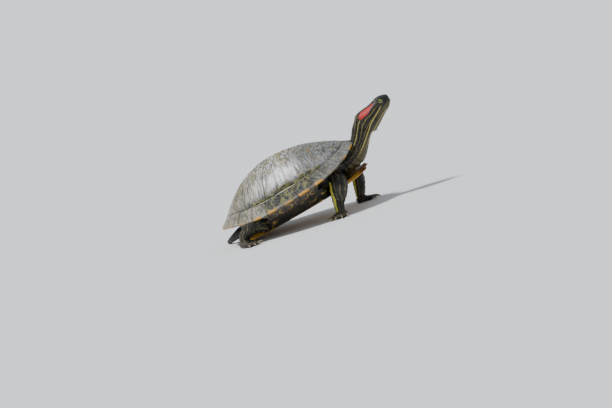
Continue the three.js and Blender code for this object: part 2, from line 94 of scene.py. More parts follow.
def write_attribute(piece, name, values):
    """Values for each vertex: single numbers, or triples kept as a vector."""
    values = np.asarray(values, np.float32)
    if values.ndim == 2:
        piece.data.attributes.new(name, "FLOAT_VECTOR", "POINT").data.foreach_set("vector", values.ravel())
    else:
        piece.data.attributes.new(name, "FLOAT", "POINT").data.foreach_set("value", values)


def settle(piece, slot, material, *nodes):
    """Stands a finished piece on the floor, gives it its finish and hides the solids it stands for."""
    places = read_places(piece)
    matrix = np.array(to_floor)
    places = places @ matrix[:3, :3].T + matrix[:3, 3]
    places = np.clip(places, cad_box[0], cad_box[1])
    write_places(piece, places)
    piece.data.materials.clear()
    piece.data.materials.append(material)
    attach(piece, "root")
    if nodes:
        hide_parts(*nodes)
    piece.select_set(False)


# ==== Camera =====================================================================================
# A long lens looks at the turtle's right side from a little ahead of it and a little above the
# floor, and is turned about its own axis, so that the animal points steeply up in the picture.

view_azimuth = math.radians(9.74)
view_elevation = math.radians(6.23)
view_turn = math.radians(-17.66)
view_distance = 14.0
view_aim = Vector((-0.0148, -0.0012, 0.0230))
picture_width = 0.7703  # of the frame at the turtle
sensor_width = 36.0

view_back = Vector((
    math.sin(view_azimuth) * math.cos(view_elevation),
    -math.cos(view_azimuth) * math.cos(view_elevation),
    math.sin(view_elevation),
))
view_rotation = (
    Matrix.Rotation(view_azimuth, 3, "Z")
    @ Matrix.Rotation(math.pi / 2 - view_elevation, 3, "X")
    @ Matrix.Rotation(view_turn, 3, "Z")
)
bpy.ops.object.camera_add(location=view_aim + view_back * view_distance, rotation=view_rotation.to_euler())
camera = bpy.context.object
camera.data.sensor_width = sensor_width
camera.data.lens = sensor_width * view_distance / picture_width
camera.data.clip_end = 500
bpy.context.scene.camera = camera
camera.select_set(False)

# ==== Shell surface ==============================================================================
# The carapace is a low dome of horny plates, called scutes, over bone. Its rim is drawn in plan by
# the angle round from the nuchal, and a point of the dome by its share of the way out to the rim.

shell_length = 200.0
shell_width = 152.0
shell_height = 75.0
rim_lowest = 24.0
dome_middle = -4.0


def rim_plan(angle):
    c, s = np.cos(angle), np.sin(angle)
    x = shell_length / 2 * np.sign(c) * np.abs(c) ** 0.92
    y = shell_width / 2 * np.sign(s) * np.abs(s) ** 0.88 * (1 - 0.1 * c)
    return x, y


def hump(distance, width):
    """One at no distance, falling away on both sides over the width."""
    return np.exp(-((distance / width) ** 2))


def rim_height(angle):
    front = 16 * np.abs(np.cos(angle / 2)) ** 14.7
    tail = 5 * np.abs(np.sin(angle / 2)) ** 10
    hip = 4 * hump(np.abs(angle) / np.pi - 0.8, 0.13)
    return rim_lowest + front + tail + hip


def dome_height(angle, share, depth=0.0):
    edge = rim_height(angle) - 0.35 * depth
    fall = share ** (2 + 0.6 * np.sin(angle) ** 2)
    flare = 0.05 * np.sin(np.pi * share ** 4)
    return edge + (shell_height - depth - edge) * (1 - fall - flare)


def keel(x, y):
    """The weak ridge along the back, knobbed at the rear of each vertebral, gone by the rims."""
    knobs = sum(hump(x - knob, 5.0) for knob in (18, -20, -57))
    ridge = np.clip((62 - x) / 60, 0, 1) * np.clip((x + 96) / 20, 0, 1)
    return (1.0 * ridge + 0.7 * knobs) * hump(y, 4.2)


def seam_share(angle):
    """Where the costals meet the marginals; the nuchal is short."""
    return 0.84 + 0.045 * np.abs(np.cos(angle / 2)) ** 16


table_angles = np.linspace(-np.pi, np.pi, 2881)
table_x, table_y = rim_plan(table_angles)
table_bearing = np.unwrap(np.arctan2(table_y, table_x - dome_middle))
table_reach = np.hypot(table_x - dome_middle, table_y)


def plan_point(angle, share):
    """The plan point at a share of the way from the dome's middle out to the rim."""
    x, y = rim_plan(angle)
    return dome_middle + (x - dome_middle) * share, y * share


def plan_share(x, y):
    """The angle of a plan point, and its share of the way out."""
    bearing = np.arctan2(y, x - dome_middle)
    angle = np.interp(bearing, table_bearing, table_angles)
    return angle, np.hypot(x - dome_middle, y) / np.interp(bearing, table_bearing, table_reach)


def dome_over(x, y):
    """The dome's height over plan points."""
    angle, share = plan_share(x, y)
    return dome_height(angle, np.clip(share, 0, 1.05)) + keel(x, y)


def dome_normals(places):
    x, y, step = places[:, 0], places[:, 1], 0.4
    slope_x = (dome_over(x + step, y) - dome_over(x - step, y)) / (2 * step)
    slope_y = (dome_over(x, y + step) - dome_over(x, y - step)) / (2 * step)
    normals = np.stack([-slope_x, -slope_y, np.ones_like(x)], 1)
    return normals / np.linalg.norm(normals, axis=1)[:, None]


def seam_arc(angle_from, angle_to):
    """The costal and marginal seam in plan, between two angles."""
    angles = np.linspace(angle_from, angle_to, 40)
    return np.stack(plan_point(angles, seam_share(angles)), 1)


def seam_angle(x):
    """The angle on the left side at which the costal and marginal seam passes over x."""
    angles = np.linspace(0, np.pi, 1500)
    seam_x, _ = plan_point(angles, seam_share(angles))
    return np.interp(-x, -seam_x, angles)


def smooth_step(x, low, high):
    t = np.clip((x - low) / (high - low), 0, 1)
    return t * t * (3 - 2 * t)


def crinkle(x, y, size, seed=0.0):
    """A fixed, smooth, uneven pattern between about -1 and 1 with features of the given size."""
    total = np.zeros_like(x)
    for wave in range(6):
        turn = 2.4 * wave + seed
        stretch = (1 + 0.37 * wave) * 2 * np.pi / (2.2 * size)
        bend = 0.6 * np.sin((x * np.sin(turn) - y * np.cos(turn)) * stretch * 0.41 + seed * 3 + wave)
        swing = np.sin((x * np.cos(turn) + y * np.sin(turn)) * stretch + bend + wave * 1.7 + seed)
        total += swing / (1 + 0.4 * wave)
    return total / 2.4


def edge_spacing(t):
    """Even steps that close up towards both ends."""
    return 0.6 * t + 0.4 * (0.5 - 0.5 * np.cos(np.pi * t))


def face_outwards():
    bpy.ops.object.mode_set(mode="EDIT")
    bpy.ops.mesh.select_all(action="SELECT")
    bpy.ops.mesh.normals_make_consistent(inside=False)
    bpy.ops.object.mode_set(mode="OBJECT")


crease = math.radians(50)  # edges sharper than this are shaded as edges


def lay_plate(name, surface, relief, cuts, thickness, gap=0.2, shoulder=1.0, normals_at=None):
    """A plate laid over surface(u, v), raised by relief, its border rounded, thickened inwards."""
    bpy.ops.mesh.primitive_grid_add(x_subdivisions=cuts[0], y_subdivisions=cuts[1], size=1)
    plate = bpy.context.object
    plate.name = name
    flat = read_places(plate)
    samples = 33
    t = np.linspace(0, 1, samples)
    net = surface(*(side.ravel() for side in np.meshgrid(t, t, indexing="ij"))).reshape(samples, samples, 3)
    lengths = np.linalg.norm(np.diff(net, axis=0), axis=2).sum(0)
    breadths = np.linalg.norm(np.diff(net, axis=1), axis=2).sum(1)
    u, v = edge_spacing(flat[:, 0] + 0.5), edge_spacing(flat[:, 1] + 0.5)
    inset_u, inset_v = gap / lengths.mean(), gap / breadths.mean()
    u, v = inset_u + u * (1 - 2 * inset_u), inset_v + v * (1 - 2 * inset_v)
    length, breadth = np.interp(v, t, lengths), np.interp(u, t, breadths)
    edge = np.minimum(np.minimum(u, 1 - u) * length, np.minimum(v, 1 - v) * breadth)
    places = surface(u, v)
    if normals_at:
        normals = normals_at(places)
    else:
        step = 0.004
        ahead = surface(np.minimum(u + step, 1), v) - surface(np.maximum(u - step, 0), v)
        aside = surface(u, np.minimum(v + step, 1)) - surface(u, np.maximum(v - step, 0))
        normals = np.cross(ahead, aside)
        normals /= np.linalg.norm(normals, axis=1)[:, None] + 1e-9
        if (normals * (places - np.array([dome_middle, 0, 30]))).sum() < 0:
            normals = -normals
    inward = np.clip(1 - edge / shoulder, 0, 1)
    lift = relief(u, v, edge, places, length, breadth) - 0.8 * shoulder * (1 - np.sqrt(1 - inward ** 2))
    places = places + normals * lift[:, None]
    write_places(plate, places)
    write_attribute(plate, "place", np.stack([u, v, edge], 1))
    write_attribute(plate, "body", places / 100)
    face_outwards()
    if (read_normals(plate) * normals).sum() < 0:
        bpy.ops.object.mode_set(mode="EDIT")
        bpy.ops.mesh.flip_normals()
        bpy.ops.object.mode_set(mode="OBJECT")
    wall = plate.modifiers.new("wall", "SOLIDIFY")
    wall.thickness = thickness
    wall.offset = -1
    bpy.ops.object.modifier_apply(modifier="wall")
    bpy.ops.object.shade_smooth_by_angle(angle=crease)
    return plate


# ==== Horn =======================================================================================
# Old, dry horn under a pale film of dried mud, olive brown where it shows, with a painted highlight of
# glare as a white core in the film on the flank. It is finely wrinkled across each scute, tan along the
# seams and over the middles, and green with algae at the rim.


def new_material(name):
    material = bpy.data.materials.new(name)
    material.use_nodes = True
    return material, material.node_tree, material.node_tree.nodes["Principled BSDF"]


class Field:
    """A number or a colour that varies over a surface. Arithmetic with it adds nodes to its tree."""

    def __init__(self, socket):
        self.socket = socket
        self.tree = socket.id_data

    def __add__(self, other):
        return calculate("ADD", self, other)

    def __sub__(self, other):
        return calculate("SUBTRACT", self, other)

    def __rsub__(self, other):
        return calculate("SUBTRACT", other, self)

    def __mul__(self, other):
        return calculate("MULTIPLY", self, other)

    def __truediv__(self, other):
        return calculate("DIVIDE", self, other)

    def __pow__(self, other):
        return calculate("POWER", self, other)

    def __abs__(self):
        return calculate("ABSOLUTE", self)


def feed(node, name, value):
    """Joins a field to an input of a node, or sets the input to a plain value or (r, g, b)."""
    if isinstance(value, Field):
        value.tree.links.new(value.socket, node.inputs[name])
    elif node.inputs[name].type == "RGBA":
        node.inputs[name].default_value = (*value, 1)
    else:
        node.inputs[name].default_value = value


def add_node(tree, kind, inputs, output=0, **settings):
    node = tree.nodes.new(kind)
    for setting, value in settings.items():
        setattr(node, setting, value)
    for name, value in inputs.items():
        feed(node, name, value)
    return Field(node.outputs[output])


def calculate(operation, *values):
    tree = next(value.tree for value in values if isinstance(value, Field))
    return add_node(tree, "ShaderNodeMath", dict(enumerate(values)), operation=operation)


def blend(factor, low, high):
    """Mixes two colours, each a field or a plain (r, g, b)."""
    return add_node(factor.tree, "ShaderNodeMix", {0: factor, 6: low, 7: high}, output=2, data_type="RGBA")


def ramp(value, low, high, start=0.0, end=1.0):
    """Carries a field from the range low..high onto start..end, smoothly and held at both ends."""
    return add_node(value.tree, "ShaderNodeMapRange", {0: value, 1: low, 2: high, 3: start, 4: end},
                    interpolation_type="SMOOTHSTEP")


def grain(place, scale, detail=4.0, roughness=0.55, distortion=0.0):
    return add_node(place.tree, "ShaderNodeTexNoise", {
        "Vector": place, "Scale": scale, "Detail": detail, "Roughness": roughness, "Distortion": distortion})


def on_surface(tree):
    return add_node(tree, "ShaderNodeTexCoord", {}, output="Object")


def read_attribute(tree, name, output="Fac"):
    return add_node(tree, "ShaderNodeAttribute", {}, output, attribute_name=name)


def split(vector):
    node = vector.tree.nodes.new("ShaderNodeSeparateXYZ")
    feed(node, 0, vector)
    return [Field(socket) for socket in node.outputs]


def stretch(vector, scale):
    return add_node(vector.tree, "ShaderNodeMapping", {"Vector": vector, "Scale": scale})


def bump(height, strength, depth):
    """Fine relief for a finish, from a field of heights and its depth in metres."""
    return add_node(height.tree, "ShaderNodeBump",
                    {"Strength": strength, "Distance": depth, "Height": height})


def finish(shader, colour, roughness, **others):
    """Feeds a finish; the other inputs are named with _ for a space."""
    feed(shader, "Base Color", colour)
    feed(shader, "Roughness", roughness)
    for name, value in others.items():
        feed(shader, name.replace("_", " "), value)


def horn_material(name, film, bar, algae, lichen, rim=False):
    """Horn, with the strengths of its pale film, its tan bar, and the algae and lichen on it."""
    material, tree, shader = new_material(name)
    place = read_attribute(tree, "place", "Vector")
    u, v, edge = split(place)
    body_x, _, body_z = split(read_attribute(tree, "body", "Vector"))  # in decimetres
    coordinate = on_surface(tree)
    lines = grain(stretch(place, (30, 2.0, 0)), 1.0, 6, 0.68, 0.5)
    hairs = grain(stretch(place, (95, 5.0, 0)), 1.0, 3, 0.6, 0.2)
    cloud = grain(coordinate, 60, 6, 0.65)
    blotches = grain(coordinate, 130, 5, 0.7)
    fine = grain(coordinate, 520, 4, 0.65)
    wide = grain(coordinate, 26, 3, 0.55)
    colour = blend(ramp(cloud, 0.38, 0.64), (0.03, 0.026, 0.014), (0.105, 0.088, 0.046))
    colour = blend(ramp(blotches, 0.5, 0.62, 0, 0.5), colour, (0.185, 0.145, 0.07))
    # The dried film: blue-grey over the shoulders, white on the flank, tan over the hips; the white on the
    # flank is partly a painted highlight of glare.
    tint = blend(ramp(body_x, 0.12, 0.45), (0.9, 0.9, 0.89), (0.285, 0.325, 0.375))
    tint = blend(ramp(body_x, -0.2, -0.6), tint, (0.5, 0.46, 0.36))
    tint = blend(ramp(body_x, -0.6, -0.8), tint, (0.85, 0.8, 0.68))
    pale = ramp(wide, 0.34, 0.54, 0.35, 1) * ramp(edge, 0.1, 2.0, 0.3, 1)
    pale = pale * ramp(lines, 0.4, 0.56, 0.05, 1.0) * ramp(hairs, 0.4, 0.55, 0.35, 1.0)
    away = abs(body_x - 0.06) + abs(body_z - 0.57) * 2.2  # from the middle of the painted glare, half way up the flank
    pale = pale * ramp(away, 0.1, 0.62, 1.0, 0.66)
    # Painted highlight: the glare on the flank, as a white core of film brighter than the film around it.
    painted_glare = ramp(away, 0.1, 0.3, 1.0, 0) * ramp(lines, 0.38, 0.48, 0.3, 1)
    pale = calculate("MAXIMUM", pale, painted_glare)
    # On the rim the pale film and its flecks fade out over the middle of the flank and stay at the front and
    # rear.
    rim_pale_fade = ramp(abs(body_x - 0.1), 0.25, 0.6, 0.2, 1)
    if rim:
        pale = pale * rim_pale_fade
    colour = blend(pale * film, colour, tint)
    # Worn spots and flecks of thicker film, drawn out down the slope.
    speckle = grain(stretch(place, (22, 7.0, 0)), 1.0, 4, 0.62, 0.4)
    # The dark spots thin out under the painted glare.
    speckled = ramp(speckle, 0.52, 0.59, 0, 0.78) * ramp(away, 0.15, 0.4, 0.4, 1)
    colour = blend(speckled, colour, (0.05, 0.042, 0.028))
    flecks = ramp(speckle, 0.46, 0.39, 0, 0.65) * ramp(cloud, 0.42, 0.54)
    if rim:
        flecks = flecks * rim_pale_fade
    colour = blend(flecks, colour, tint)
    # The tan bar and seams, dark cracks, and yellow lichen along the back.
    reach = read_attribute(tree, "bar_gap") + lines * 0.16
    bar_strength = ramp(reach, 0.07, 0.14, bar, 0) * ramp(cloud, 0.4, 0.52, 0.35, 1)
    colour = blend(bar_strength, colour, (0.25, 0.14, 0.042))
    seam = edge + fine * 1.8
    colour = blend(ramp(seam, 0.9, 1.6, 0.55, 0), colour, (0.19, 0.125, 0.05))
    colour = blend(ramp(lines, 0.34, 0.46, 0.85, 0), colour, (0.026, 0.022, 0.014))
    ridge = ramp(body_z, 0.52, 0.72) * ramp(body_x, 0.45, 0.0)
    spots = ramp(blotches, 0.5, 0.6) * (ridge + 0.35)
    colour = blend(spots * lichen, colour, (0.2, 0.175, 0.022))
    # Algae on both sides of the seam over the marginals.
    if rim:
        band = ramp(v, 0.53, 0.42) * ramp(v, 0.02, 0.1, 0.4, 1)
        flank = ramp(body_x, -0.45, -0.18) * ramp(body_x, 0.56, 0.34)
    else:
        band = ramp(v, 0.8, 0.97)
        flank = ramp(body_x, -0.8, -0.4) * ramp(body_x, 0.62, 0.35)
    green = band * flank * ramp(cloud, 0.3, 0.39)
    moss = blend(ramp(blotches, 0.5, 0.56), (0.003, 0.005, 0.002), (0.15, 0.145, 0.026))
    colour = blend(green * algae, colour, moss)
    if rim:  # an orange bar over the rim, and underneath, near-black horn, partly its own colour and partly painted shade under the rim, with uneven yellow rings
        reach = abs(u - 0.66) + (cloud - 0.5) * 0.4
        low = v + (blotches - 0.5) * 0.12 + (wide - 0.5) * 0.25 - ramp(body_x, 0.4, 0.65, 0, 0.06)
        bar_mask = ramp(reach, 0.2, 0.34, 1, 0) * ramp(low, 0.485, 0.525) * ramp(wide, 0.4, 0.52, 0.45, 1)
        colour = blend(bar_mask, colour, (0.5, 0.235, 0.012))
        # Painted shade in part: the horn under the rim's edge is near black.
        shaded_underside = blend(ramp(cloud, 0.4, 0.6), (0.008, 0.006, 0.004), (0.03, 0.021, 0.01))
        ring_u = (0.5 - abs(u - 0.47)) * 2.3 + (cloud - 0.5)
        ring_v = (v - 0.83) * 6.0
        radius = calculate("SQRT", ring_u ** 2 + ring_v ** 2) + (wide - 0.5) * 0.7
        outer_ring = ramp(abs(radius - 0.92), 0.06, 0.15, 0.95, 0)
        inner_ring = ramp(abs(radius - 0.5), 0.03, 0.09, 0.22, 0)
        rings = calculate("MAXIMUM", outer_ring, inner_ring) * ramp(blotches, 0.42, 0.56, 0.35, 1)
        shaded_underside = blend(rings, shaded_underside, (0.28, 0.17, 0.035))
        colour = blend(ramp(v, 0.63, 0.66), colour, shaded_underside)
    finish(shader, colour, ramp(fine, 0.3, 0.7, 0.27, 0.5), IOR=1.55,
           Normal=bump(lines + hairs * 0.5 + fine * 0.4, 0.9, 0.0007))
    return material


# ==== Carapace scutes ============================================================================
# Five vertebrals lie along the back with four costals on each side. Each scute is a thin plate of
# horn, swollen a little inside its seams, with fine cross wrinkles and faint rings of growth.

vertebral_seams = [52.0, 14.0, -25.0, -62.0]
vertebral_halves = [15.0, 16.0, 16.0, 12.0]  # half lengths of those seams
corner_places = [(34.0, 21.0), (-9.0, 22.0), (-46.0, 20.0)]  # where the costal seams start
costal_lean = [11.6, -13.1, -6.5]  # how far they run forward on the way out
middle_bar, first_bar = 0.5, 0.72  # where the tan bar crosses a scute


def along(line, shares):
    """Points at shares of the length of a plan line."""
    line = np.asarray(line, float)
    steps = np.hypot(*np.diff(line, axis=0).T)
    walked = np.concatenate([[0], np.cumsum(steps)]) / steps.sum()
    return np.stack([np.interp(shares, walked, line[:, 0]), np.interp(shares, walked, line[:, 1])], 1)


def lay_scute(name, near, far, front, rear, seed, bar_at=middle_bar):
    """A scute between four plan lines: near and far run front to rear, front and rear near to far."""

    def surface(u, v):
        near_points, far_points = along(near, u), along(far, u)
        front_points, rear_points = along(front, v), along(rear, v)
        w, h = u[:, None], v[:, None]
        near_ends, far_ends = along(near, [0, 1]), along(far, [0, 1])
        plan = (1 - h) * near_points + h * far_points + (1 - w) * front_points + w * rear_points
        plan -= (1 - w) * ((1 - h) * near_ends[0] + h * far_ends[0])
        plan -= w * ((1 - h) * near_ends[1] + h * far_ends[1])
        return np.column_stack([plan, dome_over(plan[:, 0], plan[:, 1])])

    def relief(u, v, edge, places, length, breadth):
        x, y = places[:, 0], places[:, 1]
        swell = 0.65 * (1 - np.exp(-edge / 5)) - 0.30
        wrinkles = 0.20 * crinkle(u * length, v * breadth * 0.16, 3.0, seed) * np.clip(edge / 2, 0, 1)
        growth = 0.07 * np.sin(edge * 2.1 + 0.8 * crinkle(x, y, 18, seed)) * np.exp(-edge / 9)
        return swell + wrinkles + growth + 0.16 * crinkle(x, y, 11, seed + 2)

    scute = lay_plate(name, surface, relief, cuts=(72, 56), thickness=1.5, shoulder=0.7,
                      normals_at=dome_normals)
    place = np.empty(len(scute.data.vertices) * 3, np.float32)
    scute.data.attributes["place"].data.foreach_get("vector", place)
    write_attribute(scute, "bar_gap", np.abs(place[0::3] - bar_at))
    return scute


costal_horn = horn_material("costal_horn", film=1.0, bar=0.7, algae=0.95, lichen=0.6)
vertebral_horn = horn_material("vertebral_horn", film=0.9, bar=0.2, algae=0.0, lichen=0.8)

front_corner, rear_corner = seam_angle(84.0), seam_angle(-81.5)
front_shoulder, rear_shoulder = seam_angle(66.0), seam_angle(-70.0)
inner = [tuple(seam_arc(front_corner, front_corner)[0])]
outer = [front_shoulder]
for number in range(3):
    inner += [(vertebral_seams[number], vertebral_halves[number]), corner_places[number]]
    outer.append(seam_angle(corner_places[number][0] + costal_lean[number]))
inner += [(vertebral_seams[3], vertebral_halves[3]), tuple(seam_arc(rear_corner, rear_corner)[0])]
outer.append(rear_shoulder)
for side, side_name in ((1, "left"), (-1, "right")):
    flip = np.array([1.0, side])
    for number in range(4):
        near = np.array(inner[2 * number:2 * number + 3])
        far = seam_arc(outer[number], outer[number + 1])
        front = seam_arc(front_corner, front_shoulder) if number == 0 else [near[0], far[0]]
        rear = seam_arc(rear_corner, rear_shoulder) if number == 3 else [near[-1], far[-1]]
        scute = lay_scute(f"costal_{side_name}_{number + 1}", near * flip, far * flip,
                          np.array(front) * flip, np.array(rear) * flip, seed=number + 1.7 * side,
                          bar_at=first_bar if number == 0 else middle_bar)
        settle(scute, "carapace_horn", costal_horn, f"costal_scute_{side_name}_{number + 1}")

rungs = [seam_arc(front_corner, -front_corner)]
for seam_x, half in zip(vertebral_seams, vertebral_halves):
    rungs.append(np.array([(seam_x, half), (seam_x, -half)]))
rungs.append(seam_arc(rear_corner, 2 * np.pi - rear_corner))
for number in range(5):
    ahead, behind = rungs[number], rungs[number + 1]
    left_line, right_line = [ahead[0]], [ahead[-1]]
    if 0 < number < 4:
        corner_x, corner_y = corner_places[number - 1]
        left_line.append((corner_x, corner_y))
        right_line.append((corner_x, -corner_y))
    left_line.append(behind[0])
    right_line.append(behind[-1])
    scute = lay_scute(f"vertebral_{number + 1}", left_line, right_line, ahead, behind, seed=number + 9.0)
    settle(scute, "carapace_horn", vertebral_horn, f"vertebral_scute_{number + 1}")

# ==== Marginals ==================================================================================
# Twelve marginals a side and the narrow nuchal in front make the rim. Each turns over the edge and
# runs on beneath as a shelf, or down towards the bridge; the rear ones are weakly notched.

tip_round = 1.1  # radius of the rim's edge
edge_from, edge_to = 0.55, 0.65  # the part of v that turns over the edge
shelf_width, shelf_rise = 9.8, 3.0
wall_inset, wall_drop = 3.9, 8.0  # of the marginals that meet the bridge
bridge_front, bridge_rear = 47.0, -35.0

rim_steps = np.hypot(np.diff(table_x), np.diff(table_y))
rim_walk = np.concatenate([[0], np.cumsum(rim_steps)])
rim_walk -= np.interp(0.0, table_angles, rim_walk)
nuchal_half = 4.2
marginal_length = (rim_walk[-1] - nuchal_half) / 12


def bridge_share(x):
    """One along the bridge, nought beyond its ends."""
    rear = smooth_step(x, bridge_rear - 6, bridge_rear + 4)
    return rear * smooth_step(x, bridge_front + 5, bridge_front - 5)


def rim_section(angle, v):
    """The rim's surface: v runs over the top to the edge and back under it."""
    rim_x, rim_y = rim_plan(angle)
    reach = np.hypot(rim_x - dome_middle, rim_y)
    seam = seam_share(angle)
    over = np.clip(v / edge_from, 0, 1)
    share = seam + (1 - tip_round / reach - seam) * over
    tip_height = dome_height(angle, 1 - tip_round / reach) - tip_round
    turn = np.pi * np.clip((v - edge_from) / (edge_to - edge_from), 0, 1)
    under = np.clip((v - edge_to) / (1 - edge_to), 0, 1)
    inset = reach * (1 - share) - tip_round * np.sin(turn)
    bridged = bridge_share(rim_x)
    inset += under * ((1 - bridged) * shelf_width + bridged * wall_inset * under)
    height = np.where(v < edge_from, dome_height(angle, share), tip_height + tip_round * np.cos(turn))
    height += under * ((1 - bridged) * shelf_rise - bridged * wall_drop)
    walked = (np.abs(np.interp(angle, table_angles, rim_walk)) - nuchal_half) / marginal_length
    phase = walked - np.floor(walked)
    tooth = np.clip(np.minimum(phase / 0.75, (1 - phase) / 0.25), 0, 1)
    notch = 1.5 * smooth_step(np.abs(angle) / np.pi, 0.58, 0.78) * (1 - tooth ** 0.7)
    inset += notch * over ** 3 * (1 - under)
    x, y = plan_point(angle, 1 - inset / reach)
    return np.stack([x, y, height + keel(x, y) * (1 - under)], 1)


rim_horn = horn_material("rim_horn", film=0.95, bar=0.0, algae=0.97, lichen=0.6, rim=True)


def rim_relief(u, v, edge, places, length, breadth):
    swell = 0.4 * (1 - np.exp(-edge / 4)) - 0.25
    grooves = 0.12 * crinkle(u * length, v * breadth * 0.3, 3.0, places[0, 0])
    return swell + grooves * np.clip(edge / 2, 0, 1)


def lay_marginal(name, walk_from, walk_to):
    angle_from = np.interp(walk_from, rim_walk, table_angles)
    angle_to = np.interp(walk_to, rim_walk, table_angles)

    def surface(u, v):
        return rim_section(angle_from + (angle_to - angle_from) * u, v)

    marginal = lay_plate(name, surface, rim_relief, cuts=(30, 64), thickness=0.7, shoulder=0.8)
    marginal.select_set(False)
    return marginal


for side, side_name in ((1, "left"), (-1, "right")):
    marginals = []
    for number in range(12):
        walk_from = nuchal_half + marginal_length * number
        marginals.append(lay_marginal(f"marginal_{side_name}_{number + 1}",
                                      side * walk_from, side * (walk_from + marginal_length)))
    for number, marginal in enumerate(marginals):
        nodes = [f"marginal_rim_{side_name}"] if number == 0 else []
        settle(marginal, "rim_horn", rim_horn, *nodes)
settle(lay_marginal("nuchal", -nuchal_half, nuchal_half), "rim_horn", rim_horn, "nuchal_scute")

# ==== Shed horn and algae ========================================================================
# The old outer layer is peeling along the seam above the marginals: thin pale slivers stand off the
# shell there, and algae fill the long pockets beside them, their near-black parts painted shade of the
# recesses under the lifted slivers.


def lay_sliver(name, degrees, shares, stand, thickness, cuts):
    """A pointed strip between two angles and two shares, standing off the shell at its lower edge."""
    angles = np.radians(degrees)

    def surface(u, v):
        angle = angles[0] + (angles[1] - angles[0]) * u
        spread = np.sin(np.pi * np.clip(u, 0.01, 0.99)) ** 0.6
        middle = (shares[0] + shares[1]) / 2
        share = middle + (shares[1] - shares[0]) * (v - 0.5) * spread
        x, y = plan_point(angle, share)
        off = stand[0] + (stand[1] - stand[0]) * v ** 1.5 * spread
        return np.stack([x, y, dome_over(x, y) + off], 1)

    def relief(u, v, edge, places, length, breadth):
        return 0.10 * crinkle(u * length, v * breadth, 2.2, angles[0]) * np.clip(edge, 0, 1)

    return lay_plate(name, surface, relief, cuts=cuts, thickness=thickness, gap=0.0, shoulder=0.25)


shed_horn, tree, shader = new_material("shed_horn")
streak = grain(on_surface(tree), 260, 5, 0.7)
finish(shader, blend(ramp(streak, 0.35, 0.62), (0.105, 0.08, 0.036), (0.32, 0.28, 0.18)), 0.4)
# Algae with painted shade: the near-black half stands for the shadow in the pockets.
algae_and_shade, tree, shader = new_material("algae_and_shade")
tuft = grain(on_surface(tree), 480, 5, 0.7)
finish(shader, blend(ramp(tuft, 0.38, 0.62), (0.006, 0.009, 0.002), (0.105, 0.105, 0.016)), 0.75,
       Normal=bump(tuft, 1.0, 0.0008))

# Each from one angle to another, and from an upper share to a lower one.
pockets = [(-92, -79, 0.792, 0.842), (-74, -58, 0.800, 0.843), (-55, -48, 0.828, 0.856),
           (-110, -99, 0.815, 0.846), (62, 76, 0.800, 0.843), (84, 99, 0.795, 0.842),
           (108, 116, 0.820, 0.846)]
slivers = [(-96, -77, 0.845, 0.862), (-77, -56, 0.846, 0.860), (-91, -80, 0.775, 0.792),
           (-72, -60, 0.784, 0.800), (-118, -100, 0.848, 0.864), (60, 80, 0.845, 0.860),
           (82, 103, 0.846, 0.862)]
for number, (start, end, upper, lower) in enumerate(pockets):
    pocket = lay_sliver(f"algae_and_shade_pocket_{number + 1}", (start, end), (upper, lower), stand=(0.30, 0.25),
                        thickness=0.5, cuts=(44, 12))
    settle(pocket, "rim_horn", algae_and_shade)
for number, (start, end, upper, lower) in enumerate(slivers):
    sliver = lay_sliver(f"shed_sliver_{number + 1}", (start, end), (upper, lower), stand=(0.35, 0.95),
                        thickness=0.3, cuts=(44, 8))
    settle(sliver, "rim_horn", shed_horn)

# ==== Shell bone =================================================================================
# Under the horn the shell is one bowl of bone and dried skin, seen only as a tan line in the seams
# and where the marginals end beneath. It is a sphere pressed into the shape of the bowl.

bpy.ops.mesh.primitive_uv_sphere_add(segments=180, ring_count=72, radius=1)
bone = bpy.context.object
bone.name = "shell_bone"
ball = read_places(bone)
bone_angle = np.arctan2(ball[:, 1], ball[:, 0])
bone_way = np.arccos(np.clip(ball[:, 2], -1, 1)) / np.pi  # 0 at the top, 1 under the dome's middle
bone_x, bone_y = rim_plan(bone_angle)
bone_reach = np.hypot(bone_x - dome_middle, bone_y)
bone_bridged = bridge_share(bone_x)
under_inset = (1 - bone_bridged) * 10.2 + bone_bridged * 6.2
rim_share = 1 - 1.9 / bone_reach
inner_share = 1 - (under_inset + 2) / bone_reach
nought = np.zeros_like(bone_x)
tip_height = dome_height(bone_angle, rim_share)
under_height = tip_height + (1 - bone_bridged) * 2.6 - bone_bridged * 6
inner_height = np.minimum(tip_height + 7, dome_height(bone_angle, inner_share) - 3.6)
bone_stations = [  # way round the bowl, share of the way out, height
    (0, nought, nought), (0.42, seam_share(bone_angle), nought), (0.5, rim_share, tip_height - 0.9),
    (0.54, 1 - 2.2 / bone_reach, tip_height - 1.2), (0.60, 1 - under_inset / bone_reach, under_height),
    (0.64, inner_share, inner_height), (1.0, nought, nought)]
share, height = nought.copy(), nought.copy()
for station, next_station in zip(bone_stations, bone_stations[1:]):
    way_from, share_from, height_from = station
    way_to, share_to, height_to = next_station
    here = (bone_way >= way_from) & (bone_way <= way_to)
    t = (bone_way[here] - way_from) / (way_to - way_from)
    share[here] = share_from[here] * (1 - t) + share_to[here] * t
    height[here] = height_from[here] * (1 - t) + height_to[here] * t
for way_from, way_to, depth in ((0, 0.42, 1.8), (0.42, 0.5, 1.4), (0.64, 1, 3.6)):  # under the horn
    here = (bone_way >= way_from) & (bone_way <= way_to)
    height[here] = dome_height(bone_angle, share)[here] - depth
write_places(bone, np.stack([*plan_point(bone_angle, share), height], 1))
bpy.ops.object.shade_smooth_by_angle(angle=crease)

bone_finish, tree, shader = new_material("bone_finish")
bone_cloud = grain(on_surface(tree), 160, 5, 0.6)
finish(shader, blend(ramp(bone_cloud, 0.35, 0.65), (0.1, 0.075, 0.035), (0.3, 0.205, 0.085)), 0.7)
settle(bone, "rim_horn", bone_finish)

# ==== Plastron ===================================================================================
# The flat under-shell, of twelve yellow scutes in pairs with a dark blotch on each, parted by fine
# grooves. The front lobe turns up a little and ends in the gular tips, stained reddish brown.

